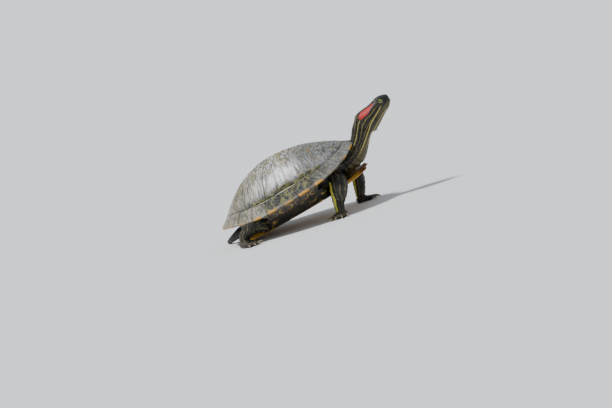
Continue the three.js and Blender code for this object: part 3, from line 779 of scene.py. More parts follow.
plastron_outline = np.array([
    (99, 13), (97, 17), (92, 22), (86, 26), (70, 35), (48, 44), (25, 46.5), (0, 47), (-34, 45), (-50, 41),
    (-68, 38), (-80, 29), (-85, 19)])
plastron_seams = [  # x at the middle and at the outer end, and the outer end's y
    (83, 95, 20), (60, 52, 42), (31, 36, 47), (-20, -28, 46), (-50, -58, 40)]
blotches = [  # centre and half sizes
    (91, 7, 6, 4.5), (71, 17, 8, 10), (45, 22, 9, 13), (4, 23, 16, 14), (-40, 21, 10, 12), (-68, 15, 9, 9)]
plastron_front, plastron_length = 99, 184


def plastron_surface(u, v):
    x = plastron_front - plastron_length * u
    half = np.interp(-x, -plastron_outline[:, 0], plastron_outline[:, 1])
    y = (2 * v - 1) * half
    middle = np.clip(1 - np.abs(y) / 16, 0, 1)
    notch = 4.0 * hump(y, 3.5)
    tips = 1.6 * hump(np.abs(y) - 7, 4) * smooth_step(u, 0.06, 0)
    x = x + 6 * middle * smooth_step(u, 0.85, 1) - notch * smooth_step(u, 0.10, 0)
    return np.stack([x, y, 3 * (np.maximum(x - 60, 0) / 40) ** 2 + tips], 1)


def plastron_relief(u, v, edge, places, length, breadth):
    x, y = places[:, 0], np.abs(places[:, 1])
    groove = y
    for inside_x, outside_x, reach in plastron_seams:
        groove = np.minimum(groove, np.abs(x - (inside_x + (outside_x - inside_x) * y / reach)))
    return -0.45 * hump(groove, 0.6) - 0.05 + 0.05 * crinkle(x, y, 9, 1.0)


plastron = lay_plate("plastron_shell", plastron_surface, plastron_relief, cuts=(170, 90), thickness=4.0,
                     gap=0.0, shoulder=1.4)
body_places = read_places(plastron)
belly_x, belly_y = body_places[:, 0], np.abs(body_places[:, 1])
blotch = np.full(len(belly_x), 9.0)
for centre_x, centre_y, half_x, half_y in blotches:
    blotch = np.minimum(blotch, np.hypot((belly_x - centre_x) / half_x, (belly_y - centre_y) / half_y))
write_attribute(plastron, "blotch", blotch)

belly_horn, tree, shader = new_material("belly_horn")
coordinate = on_surface(tree)
body_x, _, _ = split(read_attribute(tree, "body", "Vector"))
cloud = grain(coordinate, 70, 5, 0.6)
fine = grain(coordinate, 500, 4, 0.6)
colour = blend(ramp(cloud, 0.35, 0.65), (0.5, 0.27, 0.03), (0.6, 0.37, 0.075))
spot = read_attribute(tree, "blotch") + cloud * 0.9
colour = blend(ramp(spot, 1.25, 1.42, 0.92, 0), colour, (0.035, 0.024, 0.012))
colour = blend(ramp(spot, 0.62, 0.78, 0.55, 0), colour, (0.5, 0.31, 0.07))
tips = ramp(body_x + cloud * 0.2, 0.93, 1.06)
colour = blend(tips * 0.85, colour, (0.2, 0.055, 0.018))
finish(shader, colour, ramp(fine, 0.3, 0.7, 0.35, 0.5), Normal=bump(fine, 0.3, 0.0003))
settle(plastron, "plastron_horn", belly_horn, "plastron")

# ==== Bridges ====================================================================================
# The walls that join the plastron to the marginals, dark horn darkened further by painted shade, with
# yellow lines, turned in at both ends to make the fronts and backs of the leg openings.

bridge_foot = 47.0
seam_places = (35, -27)


def bridge_surface(u, v, side):
    x = np.interp(u, [0, 0.06, 0.12, 0.88, 0.94, 1],
                  [bridge_front + 1.5, bridge_front + 1, bridge_front - 3,
                   bridge_rear + 3, bridge_rear - 1, bridge_rear - 1.5])
    tucked = 13 * (np.clip(1 - u / 0.11, 0, 1) ** 1.6 + np.clip((u - 0.89) / 0.11, 0, 1) ** 1.6)
    angle = np.arccos(np.sign(x) * (np.abs(x) / (shell_length / 2)) ** (1 / 0.92))
    _, rim_y = rim_plan(angle)
    top_y, top_z = rim_y - 4.4, rim_height(angle) - 7.5
    foot = bridge_foot - 2 * ((x - 6) / 41) ** 2
    y = foot + (top_y - foot) * v + 2.6 * np.sin(np.pi * v ** 0.8)
    z = 0.6 + (top_z - 0.6) * v ** 1.45
    return np.stack([x, side * (y - tucked), z], 1)


def bridge_relief(u, v, edge, places, length, breadth):
    x, y = places[:, 0], np.abs(places[:, 1])
    seam = np.abs(x - 33 - 14 * (v - 0.4))
    for seam_place in seam_places:
        seam = np.minimum(seam, np.abs(x - seam_place))
    return 0.1 * crinkle(x, y, 6, 2.0) - 0.5 * hump(seam, 0.7)


shaded_bridge_horn, tree, shader = new_material("shaded_bridge_horn")
coordinate = on_surface(tree)
_, v, _ = split(read_attribute(tree, "place", "Vector"))
cloud = grain(coordinate, 60, 4, 0.6)
fine = grain(coordinate, 500, 4, 0.6)
# Painted shade: the base is darkened to near black, as the bridge lies in shadow under the rim.
colour = blend(ramp(cloud, 0.4, 0.6), (0.005, 0.004, 0.0025), (0.017, 0.012, 0.006))
bands = calculate("PINGPONG", v * 2.4 + cloud * 3.2, 0.5)
patchy = ramp(grain(coordinate, 45, 2), 0.46, 0.58, 0.04, 0.6)
colour = blend(ramp(bands, 0.05, 0.13, 1, 0) * patchy, colour, (0.3, 0.18, 0.035))
colour = blend(ramp(v + cloud * 0.1, 0.2, 0.1), colour, (0.5, 0.27, 0.035))
finish(shader, colour, ramp(fine, 0.3, 0.7, 0.4, 0.56), Specular_IOR_Level=0.32)
for side, side_name in ((1, "left"), (-1, "right")):
    bridge = lay_plate(f"bridge_wall_{side_name}", lambda u, v: bridge_surface(u, v, side), bridge_relief,
                       cuts=(110, 30), thickness=2.5, gap=0.0, shoulder=0.8)
    settle(bridge, "plastron_horn", shaded_bridge_horn, f"bridge_{side_name}")

# ==== Skin =======================================================================================
# One skin covers the trunk, neck, head, legs and tail. The bodies are lofted along their joints,
# melted together, and then worked: lids, nostrils, beak and jaw, neck folds, toes and wrinkles.

# Stations are x, y, z, half breadth and half depth; the head's are x, top, bottom and half breadth.
neck_stations = [(66, 0, 22, 21, 13), (82, 0, 22.5, 19.5, 14), (94, 0, 25.5, 16, 14.5),
                 (103, 0, 31.5, 13, 12.5), (110, 0, 38.5, 12, 12), (117, 0, 46, 12.4, 13),
                 (125, 0, 52, 12.5, 13.5)]
head_sections = [(114, 60, 44, 8), (118, 65, 38.5, 12.6), (124, 67.6, 37.2, 14.6), (131, 68.6, 37.8, 15.6),
                 (138, 69.2, 40, 15.4), (145, 70.8, 44.2, 14), (151, 72.4, 48.2, 12.6), (157, 73, 51.6, 10.6),
                 (162, 72.2, 54.2, 8.4), (166, 71, 57.6, 5.8), (168.2, 69, 62, 3)]
head_line = [(124, 0, 54.5), (134, 0, 56), (146, 0, 60), (157, 0, 64), (169, 0, 66.5)]
foreleg_sizes = {"right": [(15, 14), (13, 12), (11.4, 10.5), (7.7, 7.2), (7.8, 5.6)],
                 "left": [(15, 14), (11, 10.5), (9.6, 9), (7.8, 7.4), (7.8, 5.6)]}
hindleg_sizes = [(15, 11), (13, 10.5), (9.5, 9), (7.6, 7), (7.8, 5.6)]
forefoot = dict(toes=5, spread=24, length=12, palm=14, wide=9, deep=5, claw=7.5)
hindfoot = dict(toes=4, spread=17, length=15, palm=19, wide=9, deep=4.6, claw=6.5)
toe_radius = 2.7
legs = {  # over the floor: heading in degrees, joints from the body out
    "forefoot_right": (-104, [(50, -26, 50), (60, -42, 42), (58, -50.5, 29), (54.5, -51, 17.5),
                              (54, -50.5, 8)], foreleg_sizes["right"], forefoot),
    "forefoot_left": (22, [(48, 26, 54), (64, 42, 48), (71, 47, 33), (69.5, 46, 17.5),
                           (67, 45.5, 8)], foreleg_sizes["left"], forefoot),
    "hindfoot_right": (-48, [(-46, -30, 22), (-46, -50, 21.5), (-53, -64, 24), (-69.5, -68, 14),
                             (-71, -68, 6)], hindleg_sizes, hindfoot),
    "hindfoot_left": (54, [(-46, 30, 26), (-45, 52, 25), (-50, 67, 26), (-67.5, 72, 14),
                           (-69, 72, 6)], hindleg_sizes, hindfoot),
}
tail_joints = [(-66, 0, 16, 9), (-82, 1, 13, 7.5), (-94, 5, 8.5, 5.2), (-102, 12, 4.6, 3.6),
               (-106, 20, 2.4, 2.6), (-107, 28, 1.3, 1.3)]
toe_profile = [(0, 3.2, 1.15), (0.35, 3.1, 1.0), (0.55, 3.3, 1.06), (0.8, 2.9, 0.86), (0.93, 2.5, 0.8),
               (1.0, 2.3, 0.5)]  # share of the length, height, size
palm_profile = [(-0.4, 0.65, 0.8), (0.25, 1.05, 0.95), (0.7, 1.05, 0.6), (0.95, 0.8, 0.4)]
floor_up = from_floor(0, 0, 1) - from_floor(0, 0, 0)


def smooth_line(rows, steps):
    """A smooth run through rows of numbers, with so many steps from each to the next."""
    rows = np.asarray(rows, float)
    held = np.vstack([2 * rows[0] - rows[1], rows, 2 * rows[-1] - rows[-2]])
    made = []
    for i in range(len(rows) - 1):
        a, b, c, d = held[i:i + 4]
        for t in np.arange(steps) / steps:
            bend = (2 * a - 5 * b + 4 * c - d) * t ** 2
            made.append(0.5 * (2 * b + (c - a) * t + bend + (3 * b - a - 3 * c + d) * t ** 3))
    return np.array(made + [rows[-1]])


def press_sphere(ring_count, segments, section):
    """A sphere whose rings are carried to section(row, turn, pole), from the first row to the last."""
    bpy.ops.mesh.primitive_uv_sphere_add(segments=segments, ring_count=ring_count + 1, radius=1)
    body = bpy.context.object
    ball = read_places(body)
    ring = np.rint(np.arccos(np.clip(ball[:, 2], -1, 1)) / np.pi * (ring_count + 1)).astype(int) - 1
    pole = (ring < 0) | (ring >= ring_count)
    turn = np.arctan2(ball[:, 1], ball[:, 0])
    write_places(body, section(np.clip(ring, 0, ring_count - 1), turn, pole))
    face_outwards()
    return body


def loft(stations, up, segments=32, steps=6):
    """A closed body along stations of x, y, z, half breadth and half depth along up."""
    rows = smooth_line(stations, steps)
    ways = np.gradient(rows[:, :3], axis=0)
    ways /= np.linalg.norm(ways, axis=1)[:, None]
    sides = np.cross(np.asarray(up, float), ways)
    sides /= np.linalg.norm(sides, axis=1)[:, None]
    tops = np.cross(ways, sides)

    def section(ring, turn, pole):
        spread = np.where(pole, 0, 1)
        across = sides[ring] * (rows[ring, 3] * np.cos(turn) * spread)[:, None]
        return rows[ring, :3] + across + tops[ring] * (rows[ring, 4] * np.sin(turn) * spread)[:, None]

    return press_sphere(len(rows), segments, section)


bodies = []
head_rows = smooth_line(head_sections, 5)


def head_ring(ring, turn, pole):
    x, top, bottom, half = head_rows[ring].T
    middle = bottom + (top - bottom) * 0.56
    spread = np.where(pole, 0, 1)
    c, s = np.cos(turn) * spread, np.sin(turn) * spread
    rise = np.where(s > 0, top - middle, middle - bottom)
    square = 0.86  # below one, the section is a little squarer than an ellipse
    return np.stack([x, half * np.sign(c) * np.abs(c) ** square,
                     middle + rise * np.sign(s) * np.abs(s) ** square], 1)


bodies.append(press_sphere(len(head_rows), 64, head_ring))
bodies.append(loft(neck_stations, (0, 0, 1), 48))

trunk_rings = 25
trunk_depth = 6.5  # under the shell
trunk_low = 5.5


def trunk_ring(ring, turn, pole):
    level = np.linspace(0, 1, trunk_rings)[ring]
    widest = 0.80 * (1 + 0.10 * np.abs(np.sin(turn)) ** 2)
    share = widest * np.interp(level, [0, 0.12, 0.3, 0.5, 0.62, 0.8, 0.92, 1],
                               [0.08, 0.45, 0.8, 1.0, 1.0, 0.97, 0.84, 0.3])
    share = np.where(pole, 0, share)
    x, y = plan_point(turn, share)
    top = dome_height(turn, share) - trunk_depth
    rim = dome_height(turn, widest) - trunk_depth
    sunk = np.clip((level - 0.5) / 0.42, 0, 1)
    height = np.where(level <= 0.5, top, rim + (trunk_low - rim) * sunk)
    return np.stack([x, y * (1 - 0.12 * sunk), height], 1)


bodies.append(press_sphere(trunk_rings, 72, trunk_ring))

axes = {"neck": smooth_line([row[:3] for row in neck_stations[:-1]] + head_line, 8)}
axis_sizes = {"neck": 13.0}  # how far from its axis a part reaches
claw_lines = {}
for leg_name, (heading, joints, sizes, foot) in legs.items():
    stations = [(*from_floor(*joint), *size) for joint, size in zip(joints, sizes)]
    bodies.append(loft(stations, (1, 0, 0.2)))
    axes[leg_name] = smooth_line([station[:3] for station in stations], 8)
    axis_sizes[leg_name] = 9.0
    ankle = np.array(joints[-1][:2], float)
    heading = math.radians(heading)
    way = np.array([math.cos(heading), math.sin(heading)])
    palm = []
    for share, wide, deep in palm_profile:
        spot = from_floor(*(ankle + way * foot["palm"] * share), foot["deep"] * deep * 0.82)
        palm.append((*spot, foot["wide"] * wide, foot["deep"] * deep))
    bodies.append(loft(palm, floor_up))
    axes[leg_name + "_palm"] = smooth_line([station[:3] for station in palm], 4)
    axis_sizes[leg_name + "_palm"] = 6.0
    for toe in range(foot["toes"]):
        fan = toe - (foot["toes"] - 1) / 2
        bearing = heading + math.radians(fan * foot["spread"] * 0.9)
        toe_way = np.array([math.cos(bearing), math.sin(bearing)])
        start = ankle + toe_way * foot["palm"] * 0.45
        length = foot["length"] * (1 - 0.06 * fan ** 2)
        toe_stations = []
        for share, lift, size in toe_profile:
            spot = start + toe_way * length * share
            toe_stations.append((*from_floor(*spot, lift), toe_radius * size, toe_radius * size * 0.9))
        bodies.append(loft(toe_stations, floor_up, 20, 4))
        tip = start + toe_way * (length - 1.6)
        claw_lines[f"claw_{leg_name}_{toe + 1}"] = (tip, toe_way, foot["claw"] + 1.9)
tail_stations = [(*from_floor(*joint[:3]), joint[3], joint[3] * 0.95) for joint in tail_joints]
bodies.append(loft(tail_stations, floor_up, 24))
axes["tail"] = smooth_line([station[:3] for station in tail_stations], 8)
axis_sizes["tail"] = 6.0

bpy.ops.object.select_all(action="DESELECT")
for body in bodies:
    body.select_set(True)
bpy.context.view_layer.objects.active = bodies[0]
bpy.ops.object.join()
skin = bpy.context.object
skin.name = "skin"
melt = skin.modifiers.new("melt", "REMESH")
melt.mode = "VOXEL"
melt.voxel_size = 1.1
bpy.ops.object.modifier_apply(modifier="melt")
ease = skin.modifiers.new("ease", "SMOOTH")
ease.factor = 0.5
ease.iterations = 5
bpy.ops.object.modifier_apply(modifier="ease")


def choose_vertices(piece, chosen):
    """Selects vertices, and the faces between them, for the tools of edit mode."""
    bpy.ops.object.mode_set(mode="EDIT")
    bpy.ops.mesh.select_mode(type="VERT")
    bpy.ops.mesh.select_all(action="DESELECT")
    bpy.ops.object.mode_set(mode="OBJECT")
    piece.data.vertices.foreach_set("select", chosen)
    bpy.ops.object.mode_set(mode="EDIT")


# The head takes finer faces.
head_from = 116
choose_vertices(skin, read_places(skin)[:, 0] > head_from)
bpy.ops.mesh.subdivide(number_cuts=1, smoothness=0)
bpy.ops.mesh.vertices_smooth(factor=0.5, repeat=3)
bpy.ops.object.mode_set(mode="OBJECT")

# Inside the shell the skin is never seen, so it is thinned there.
places = read_places(skin)
_, skin_share = plan_share(places[:, 0], places[:, 1])
choose_vertices(skin, (skin_share < 0.62) & (places[:, 2] > 4.0))
bpy.ops.mesh.decimate(ratio=0.12)
bpy.ops.object.mode_set(mode="OBJECT")


def line_distance(x, z, line):
    """Distance in side view to a line, and the share of the way along it."""
    best, where = np.full(len(x), 1e9), np.zeros(len(x))
    line = np.asarray(line, float)
    for number in range(len(line) - 1):
        start, way = line[number], line[number + 1] - line[number]
        t = np.clip(((x - start[0]) * way[0] + (z - start[1]) * way[1]) / (way @ way), 0, 1)
        distance = np.hypot(x - start[0] - way[0] * t, z - start[1] - way[1] * t)
        closer = distance < best
        best[closer], where[closer] = distance[closer], ((number + t) / (len(line) - 1))[closer]
    return best, where


# How the skin lies: for each vertex its nearest axis, the way round it and how far along.
places = read_places(skin)
count = len(places)
nearest = np.full(count, 1e9)
turn, run = np.zeros(count), np.zeros(count)
masks = {name: np.zeros(count) for name in ("neck", "leg", "foot", "tail")}
region = np.zeros(count, int)
for number, (name, axis) in enumerate(axes.items()):
    gaps = np.full(count, 1e9)
    closest = np.zeros(count, int)
    for sample, point in enumerate(axis):
        distance = np.linalg.norm(places - point, axis=1)
        closer = distance < gaps
        gaps[closer], closest[closer] = distance[closer], sample
    ways = np.gradient(axis, axis=0)
    ways /= np.linalg.norm(ways, axis=1)[:, None]
    across = np.cross((0.0, 1.0, 0.0) if name in ("neck", "tail") else (1.0, 0.0, 0.2), ways)
    across /= np.linalg.norm(across, axis=1)[:, None]
    over = np.cross(ways, across)
    out = places - axis[closest]
    lengths = np.concatenate([[0], np.cumsum(np.linalg.norm(np.diff(axis, axis=0), axis=1))])
    closer = gaps / axis_sizes[name] < nearest
    nearest[closer] = (gaps / axis_sizes[name])[closer]
    angle = np.arctan2((out * over[closest]).sum(1), (out * across[closest]).sum(1))
    drift = (out * ways[closest]).sum(1)
    turn[closer], run[closer] = angle[closer], (lengths[closest] + drift)[closer]
    region[closer] = number
names = list(axes)
for number, name in enumerate(names):
    kind = "foot" if name.endswith("palm") else "leg" if "foot" in name else name
    masks[kind][region == number] = 1
x, y, z = places.T
side_y = np.abs(y)

# The eyes sit level over the floor, so their long axis slopes down to the front in the turtle's own frame.
eye_radius = 4.6
eye_frames = {}
for side, side_name in ((1, "left"), (-1, "right")):
    centre = np.array([157.6, side * 6.9, 67.0])
    gaze = np.array([0.14, side * 0.97, 0.2])
    gaze /= np.linalg.norm(gaze)
    level = np.array([0.852, 0.0, -0.523])
    level -= gaze * (level @ gaze)
    level /= np.linalg.norm(level)
    eye_frames[side_name] = (centre, gaze, level, np.cross(gaze, level) * side)

# The beak's edge stands proud over the jaw, with the mouth as a groove between them.
mouth = [(172, 60.2), (166, 58.6), (160, 57), (154, 55.0), (148, 53.6), (143, 53.2), (140.5, 51.6)]
normals = read_normals(skin)
front = smooth_step(x, 138, 142)
mouth_gap, _ = line_distance(x, z, mouth)
above = z > np.interp(x, *np.transpose(mouth[::-1]))
lift = -0.75 * hump(mouth_gap, 0.55) * front
lift += np.where(above, 0.38 * hump(mouth_gap - 1.5, 1.2), -0.28 * hump(mouth_gap - 1.6, 1.6)) * front

# Eardrum, jaw angle, temple ridge, hollow between the eyes, and the throat's bump.
drum = np.hypot(x - 134.5, z - 54.8)
side_on = smooth_step(side_y, 8, 12)
lift += side_on * (0.35 * hump(drum - 4.6, 0.9) - 0.55 * np.exp(-((drum / 3.6) ** 4)))
jaw_angle, _ = line_distance(x, z, [(140, 51), (137, 46), (134, 41)])
lift -= 0.6 * side_on * hump(jaw_angle, 1.0)
temple = smooth_step(x, 146, 150) * smooth_step(x, 163, 160) * smooth_step(side_y, 3, 5)
lift += 0.5 * temple * hump(z - 72.2, 1.2)
lift -= 0.5 * hump(y, 3.2) * hump(x - 156, 6) * (z > 68)
lift += 1.5 * hump(x - 132.5, 2.6) * hump(y, 4.5) * (z < 45)

# Loose skin: rolls round the neck's base, fine rings higher up, and length-wise folds in the throat.
neck = masks["neck"] * smooth_step(x, 128, 118)
rolls = np.sin(run * 2 * np.pi / 6.5 + 1.2 * np.sin(turn * 2) + 0.6 * crinkle(x, y * 1.3 + z, 9, 3.0))
lift += neck * smooth_step(x, 108, 84) * 1.1 * rolls
lift += neck * 0.22 * crinkle(run, turn * 5.0, 2.6, 1.3)
folds = np.sin(turn * 13 + 0.8 * crinkle(run, turn * 3, 9, 4.0))
lift += neck * 0.30 * folds * smooth_step(np.abs(turn), 1.0, 1.8)

# Legs: sagging wrinkles across the joints, and a fine unevenness over legs and feet; rings round the tail,
# and a broad unevenness over the trunk.
leg = masks["leg"]
lift += leg * 0.22 * np.sin(run * 2 * np.pi / 5.5 + 1.1 * np.sin(turn * 2) + 1.3 * crinkle(x, y + z, 9, 2.2))
lift += (leg + masks["foot"]) * 0.14 * crinkle(x * 1.2, y + z * 0.8, 2.8, 5.0)
lift += masks["tail"] * 0.18 * np.sin(run * 2 * np.pi / 3.0)
trunk = (1 - masks["neck"]) * (1 - leg) * (1 - masks["foot"]) * (1 - masks["tail"])
lift += trunk * 0.5 * crinkle(x, y + z, 6, 1.0)
places = places + normals * lift[:, None]

# Lids round the balls, and cover for the balls beyond them.
lid_width, lid_height = 3.7, 2.2
lid_profile = ([0, 0.85, 1.0, 1.12, 1.3, 1.5, 1.62, 1.8], [-1.4, -1.3, 0.1, 0.62, 0.66, 0.45, 0.2, 0.5])
for centre, gaze, level, lid in eye_frames.values():
    out = places - centre
    reach = np.linalg.norm(out, axis=1)
    facing = out / reach[:, None]
    ahead = facing @ gaze
    across_eye = np.arctan2(facing @ level, ahead) * eye_radius
    up_eye = np.arctan2(facing @ lid, ahead) * eye_radius
    ring = np.hypot(across_eye / lid_width, (up_eye + 0.1) / lid_height)
    hold = smooth_step(ring, 2.25, 1.6) * ((ahead > 0.1) & (reach < 9))
    lid_reach = eye_radius + np.interp(ring, *lid_profile)
    places += facing * ((lid_reach - reach) * hold)[:, None]
    bare = eye_radius + 0.3 - np.linalg.norm(places - centre, axis=1)
    places += facing * np.where((ring > 1.05) & (ahead > -0.4), np.clip(bare, 0, 2), 0)[:, None]

# Nostrils.
for side in (-1, 1):
    nostril = np.linalg.norm(places - np.array([168.0, side * 1.55, 67.2]), axis=1)
    places -= normals * (1.1 * hump(nostril, 0.85))[:, None]

write_places(skin, places)
bpy.ops.object.shade_smooth()

# Markings, as distances in millimetres outside each: red patch, yellow lines, and pale places.
x, y, z = places.T
side_y = np.abs(y)
red_outline = np.array([
    (150.2, 69.5), (146.3, 69.6), (141.9, 68.4), (138.1, 68.9), (128.3, 67.4), (124.0, 64.5), (123.4, 61.8),
    (125.6, 60.2), (130.6, 60.9), (137.3, 62.4), (141.4, 65.0), (146, 68.0)])
red_gap, _ = line_distance(x, z, np.vstack([red_outline, red_outline[:1]]))
inside = np.zeros(count, bool)
for (x0, z0), (x1, z1) in zip(red_outline, np.roll(red_outline, -1, axis=0)):
    crosses = (z0 > z) != (z1 > z)
    inside ^= crosses & (x < x0 + (z - z0) * (x1 - x0) / (z1 - z0 + 1e-9))
red = np.where(inside, -red_gap, red_gap) + 5 * smooth_step(side_y, 7, 5)
head_lines = [  # in side view, with the half width in the middle of each
    ([(157.0, 62.4), (154.5, 61.4), (150.7, 59.0), (144.6, 55.9), (138.8, 52.5), (133.1, 49.2), (128.0, 44.7),
      (123.7, 41.2), (117, 35.5), (109, 29.0), (100, 23), (90, 17)], 0.62),
    ([(166.5, 63.2), (162, 60.6), (157, 58.6), (151, 56.6), (146, 54.9)], 0.16),
    ([(165, 58.0), (157, 53.9), (149, 50.4), (141, 45.9), (134, 41.4), (127, 38.2), (118, 31),
      (108, 22)], 0.30),
    ([(153.4, 72.0), (146, 71.2), (136, 69.9), (127, 68.6), (120, 65.4), (114, 57), (107, 48)], 0.14),
    ([(153.2, 65.6), (146, 62.6), (139, 59.4), (131, 57.6), (123, 52.6), (116, 44.6), (108, 36.6), (99, 30),
      (88, 25)], 0.26),
    ([(125.4, 61.2), (119, 56.6), (113, 49.2), (106, 41.2), (97, 34), (86, 30)], 0.36),
    ([(147, 56.4), (138, 53.8), (131, 50.3), (124, 45.4), (116, 38.4), (107, 31.5), (97, 25)], 0.18),
]
yellow = np.full(count, 9.0)
for line, half_width in head_lines:
    gap, way = line_distance(x, z, line)
    yellow = np.minimum(yellow, gap - half_width * np.clip(np.minimum(way * 9, (1 - way) * 6), 0, 1))
yellow += 5 * smooth_step(side_y, 6, 4) * (z > 50)
leg_line = np.full(count, 9.0)  # the yellow line down the back of each foreleg
for name, line_turn in (("forefoot_right", -2.6), ("forefoot_left", -2.55)):
    chosen = region == names.index(name)
    back_edge = np.abs(np.angle(np.exp(1j * (turn - line_turn))))
    leg_line[chosen] = (back_edge * 8.5 - 2.8 * smooth_step(run, 16, 28) + 0.9)[chosen]
write_attribute(skin, "red", red)
write_attribute(skin, "yellow", np.minimum(yellow, 9))
write_attribute(skin, "leg_line", leg_line)
write_attribute(skin, "lie", np.stack([np.cos(turn), np.sin(turn), np.zeros(count)], 1))
write_attribute(skin, "neck_part", masks["neck"])
write_attribute(skin, "neck_lines", masks["neck"] * smooth_step(x, 132, 120))
write_attribute(skin, "leg_part", np.maximum(masks["leg"], masks["foot"]))
write_attribute(skin, "throat", smooth_step(-z + 0.55 * (x - 120), -39, -33) * masks["neck"])
write_attribute(skin, "beak", smooth_step(x, 141, 147) * smooth_step(mouth_gap, 3.6, 1.2))
# The distance to the mouth groove, for the painted shade along it.
write_attribute(skin, "mouth", mouth_gap + 3 * smooth_step(x, 146, 142))

skin_finish, tree, shader = new_material("skin_finish")
coordinate = on_surface(tree)
cloud = grain(coordinate, 90, 5, 0.6)
fine = grain(coordinate, 700, 4, 0.6)
wobble = grain(coordinate, 130, 2, 0.5)
lie_cos, lie_sin, _ = split(read_attribute(tree, "lie", "Vector"))
around = calculate("ARCTAN2", lie_sin, lie_cos) / (2 * math.pi)
neck_part = read_attribute(tree, "neck_part")
neck_lines = read_attribute(tree, "neck_lines")
leg_part = read_attribute(tree, "leg_part")
yellow_gap = read_attribute(tree, "yellow")
red_gap = read_attribute(tree, "red") + fine * 0.6
colour = blend(ramp(cloud, 0.38, 0.64), (0.008, 0.0075, 0.0065), (0.03, 0.027, 0.022))
line_width = 0.085
for part, lines_round, bend, tint in (
        (neck_lines, 18, 1.3, (0.22, 0.155, 0.06)), (leg_part, 11, 1.2, (0.3, 0.24, 0.07))):
    near_line = calculate("PINGPONG", around * lines_round + wobble * bend, 0.5)
    stripe = ramp(near_line, line_width * 0.7, line_width, 1, 0) * (ramp(cloud, 0.4, 0.52) * part)
    colour = blend(stripe * 0.65, colour, tint)
colour = blend(read_attribute(tree, "throat") * 0.42, colour, (0.15, 0.122, 0.045))
colour = blend(read_attribute(tree, "beak") * 0.45, colour, (0.13, 0.115, 0.045))
# Painted shade: a near-black line along the mouth groove.
colour = blend(ramp(read_attribute(tree, "mouth"), 0.22, 0.5, 0.9, 0), colour, (0.006, 0.005, 0.004))
colour = blend(ramp(yellow_gap, 0.3, 0.8, 0.8, 0) * neck_part, colour, (0.012, 0.012, 0.008))
colour = blend(ramp(yellow_gap, -0.2, 0.25, 1, 0), colour, (0.44, 0.36, 0.085))
colour = blend(ramp(read_attribute(tree, "leg_line"), -0.3, 0.4, 0.95, 0), colour, (0.6, 0.56, 0.07))
colour = blend(ramp(red_gap, 0.3, 1.0, 0.7, 0), colour, (0.02, 0.012, 0.01))
reds = blend(ramp(red_gap, -2.0, -0.2), (0.36, 0.001, 0.005), (0.46, 0.008, 0.01))
colour = blend(ramp(red_gap, 0.0, 0.45, 1, 0), colour, reds)


def cells(scale, randomness):
    """Distance to the borders of small scales."""
    inputs = {"Vector": coordinate, "Scale": scale, "Randomness": randomness}
    return add_node(tree, "ShaderNodeTexVoronoi", inputs, feature="DISTANCE_TO_EDGE")


scale_height = ramp(cells(520, 0.85), 0.0, 0.22) * leg_part
soft_height = ramp(cells(1000, 0.9), 0.0, 0.3) * ramp(neck_part - neck_lines, 0, 1, 0.35, 0.12)
finish(shader, colour, ramp(fine, 0.3, 0.7, 0.38, 0.58), Specular_IOR_Level=0.32,
       Normal=bump(scale_height + soft_height + fine * 0.3, 0.7, 0.0004))
flesh_nodes = ["trunk", "neck", "head", "lower_jaw", "tail"]
for side_name in ("right", "left"):
    for part_name in ("upper_arm", "forearm", "forefoot", "thigh", "shank", "hindfoot"):
        flesh_nodes.append(f"{part_name}_{side_name}")
settle(skin, "skin", skin_finish, *flesh_nodes)

# ==== Eyes =======================================================================================
# Moist balls set deep in the lids, each a sphere under a clear coat. The iris is yellow-green and
# crossed by a dark bar, level with the floor, through the round pupil.

eye_finish, tree, shader = new_material("eye_finish")
across, up, _ = split(read_attribute(tree, "gaze", "Vector"))
ring = calculate("SQRT", across ** 2 + up ** 2)
fleck = grain(on_surface(tree), 1500, 3, 0.6)
colour = blend(ramp(fleck, 0.35, 0.65), (0.11, 0.13, 0.012), (0.36, 0.37, 0.035))
colour = blend(ramp(abs(up) + fleck * 0.06, 0.15, 0.23, 0.96, 0), colour, (0.006, 0.006, 0.004))
colour = blend(ramp(ring, 0.6, 0.7), colour, (0.025, 0.024, 0.01))
colour = blend(ramp(ring, 0.2, 0.24, 1, 0), colour, (0.002, 0.002, 0.002))
finish(shader, colour, 0.12, Coat_Weight=1.0, Coat_Roughness=0.03)
for side_name, (centre, gaze, level, lid) in eye_frames.items():
    bpy.ops.mesh.primitive_uv_sphere_add(segments=48, ring_count=32, radius=eye_radius)
    eye = bpy.context.object
    eye.name = f"eye_ball_{side_name}"
    ball = read_places(eye)
    write_places(eye, ball + centre)
    facing = ball / eye_radius
    write_attribute(eye, "gaze", np.stack([facing @ level, facing @ lid, facing @ gaze], 1))
    bpy.ops.object.shade_smooth()
    settle(eye, "eye", eye_finish, f"eye_{side_name}")

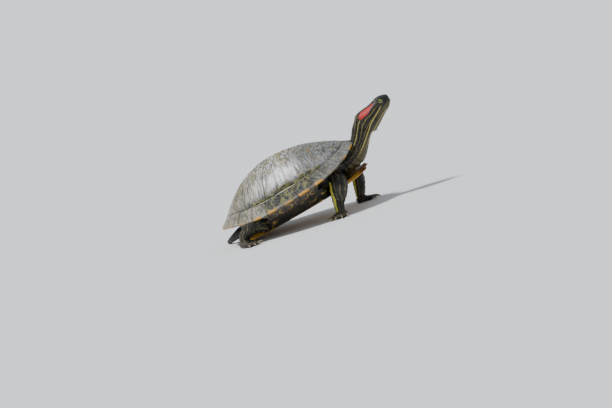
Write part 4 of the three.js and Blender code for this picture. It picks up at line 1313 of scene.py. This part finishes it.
# ==== Claws ======================================================================================
# Curved claws of solid horn, dark brown at the root and paler at the worn points. Each is a thin
# cone lofted along its curve, with its root in the end of a toe.

claw_radius = 1.75
claw_height = 2.5  # of the root over the floor
claw_finish, tree, shader = new_material("claw_finish")
colour = blend(ramp(read_attribute(tree, "share"), 0.15, 0.95), (0.045, 0.034, 0.022), (0.34, 0.27, 0.17))
colour = blend(ramp(grain(on_surface(tree), 700, 3), 0.4, 0.6, 0.3, 0), colour, (0.03, 0.022, 0.015))
finish(shader, colour, 0.32)
for claw_name, (tip, toe_way, length) in claw_lines.items():
    claw_stations = []
    for t in (0, 0.25, 0.5, 0.75, 0.92, 1.0):
        spot = tip + toe_way * length * t
        arch = 1.1 * math.sin(math.pi * t) - 1.8 * t ** 2
        size = claw_radius * (1 - 0.86 * t ** 1.3)
        claw_stations.append((*from_floor(*spot, claw_height + arch), size * 0.8, size))
    claw = loft(claw_stations, floor_up, 16, 4)
    claw.name = claw_name.replace("claw", "nail")
    toe_line = from_floor(*toe_way, 0) - from_floor(0, 0, 0)
    reach = (read_places(claw) - from_floor(*tip, claw_height)) @ toe_line
    write_attribute(claw, "share", reach / length)
    bpy.ops.object.shade_smooth()
    settle(claw, "claw_horn", claw_finish, claw_name)

# ==== Floor and light ============================================================================
# A wide pale floor and a soft studio light: a large sun high on the camera's left and a pale sky.

bpy.ops.mesh.primitive_plane_add(size=400, location=(0, 0, 0))
floor = bpy.context.object
floor.name = "floor"
floor_finish, tree, shader = new_material("floor_finish")
finish(shader, (0.74, 0.745, 0.75), 0.75)
floor.data.materials.append(floor_finish)

key_from = Vector((-0.38, -0.16, 0.91))
bpy.ops.object.light_add(type="SUN", rotation=key_from.to_track_quat("Z", "Y").to_euler())
key_light = bpy.context.object
key_light.data.energy = 4.0
key_light.data.angle = math.radians(9)
sky = bpy.data.worlds.new("sky")
bpy.context.scene.world = sky
sky.use_nodes = True
feed(sky.node_tree.nodes["Background"], "Color", (0.86, 0.92, 1.0))
feed(sky.node_tree.nodes["Background"], "Strength", 0.55)
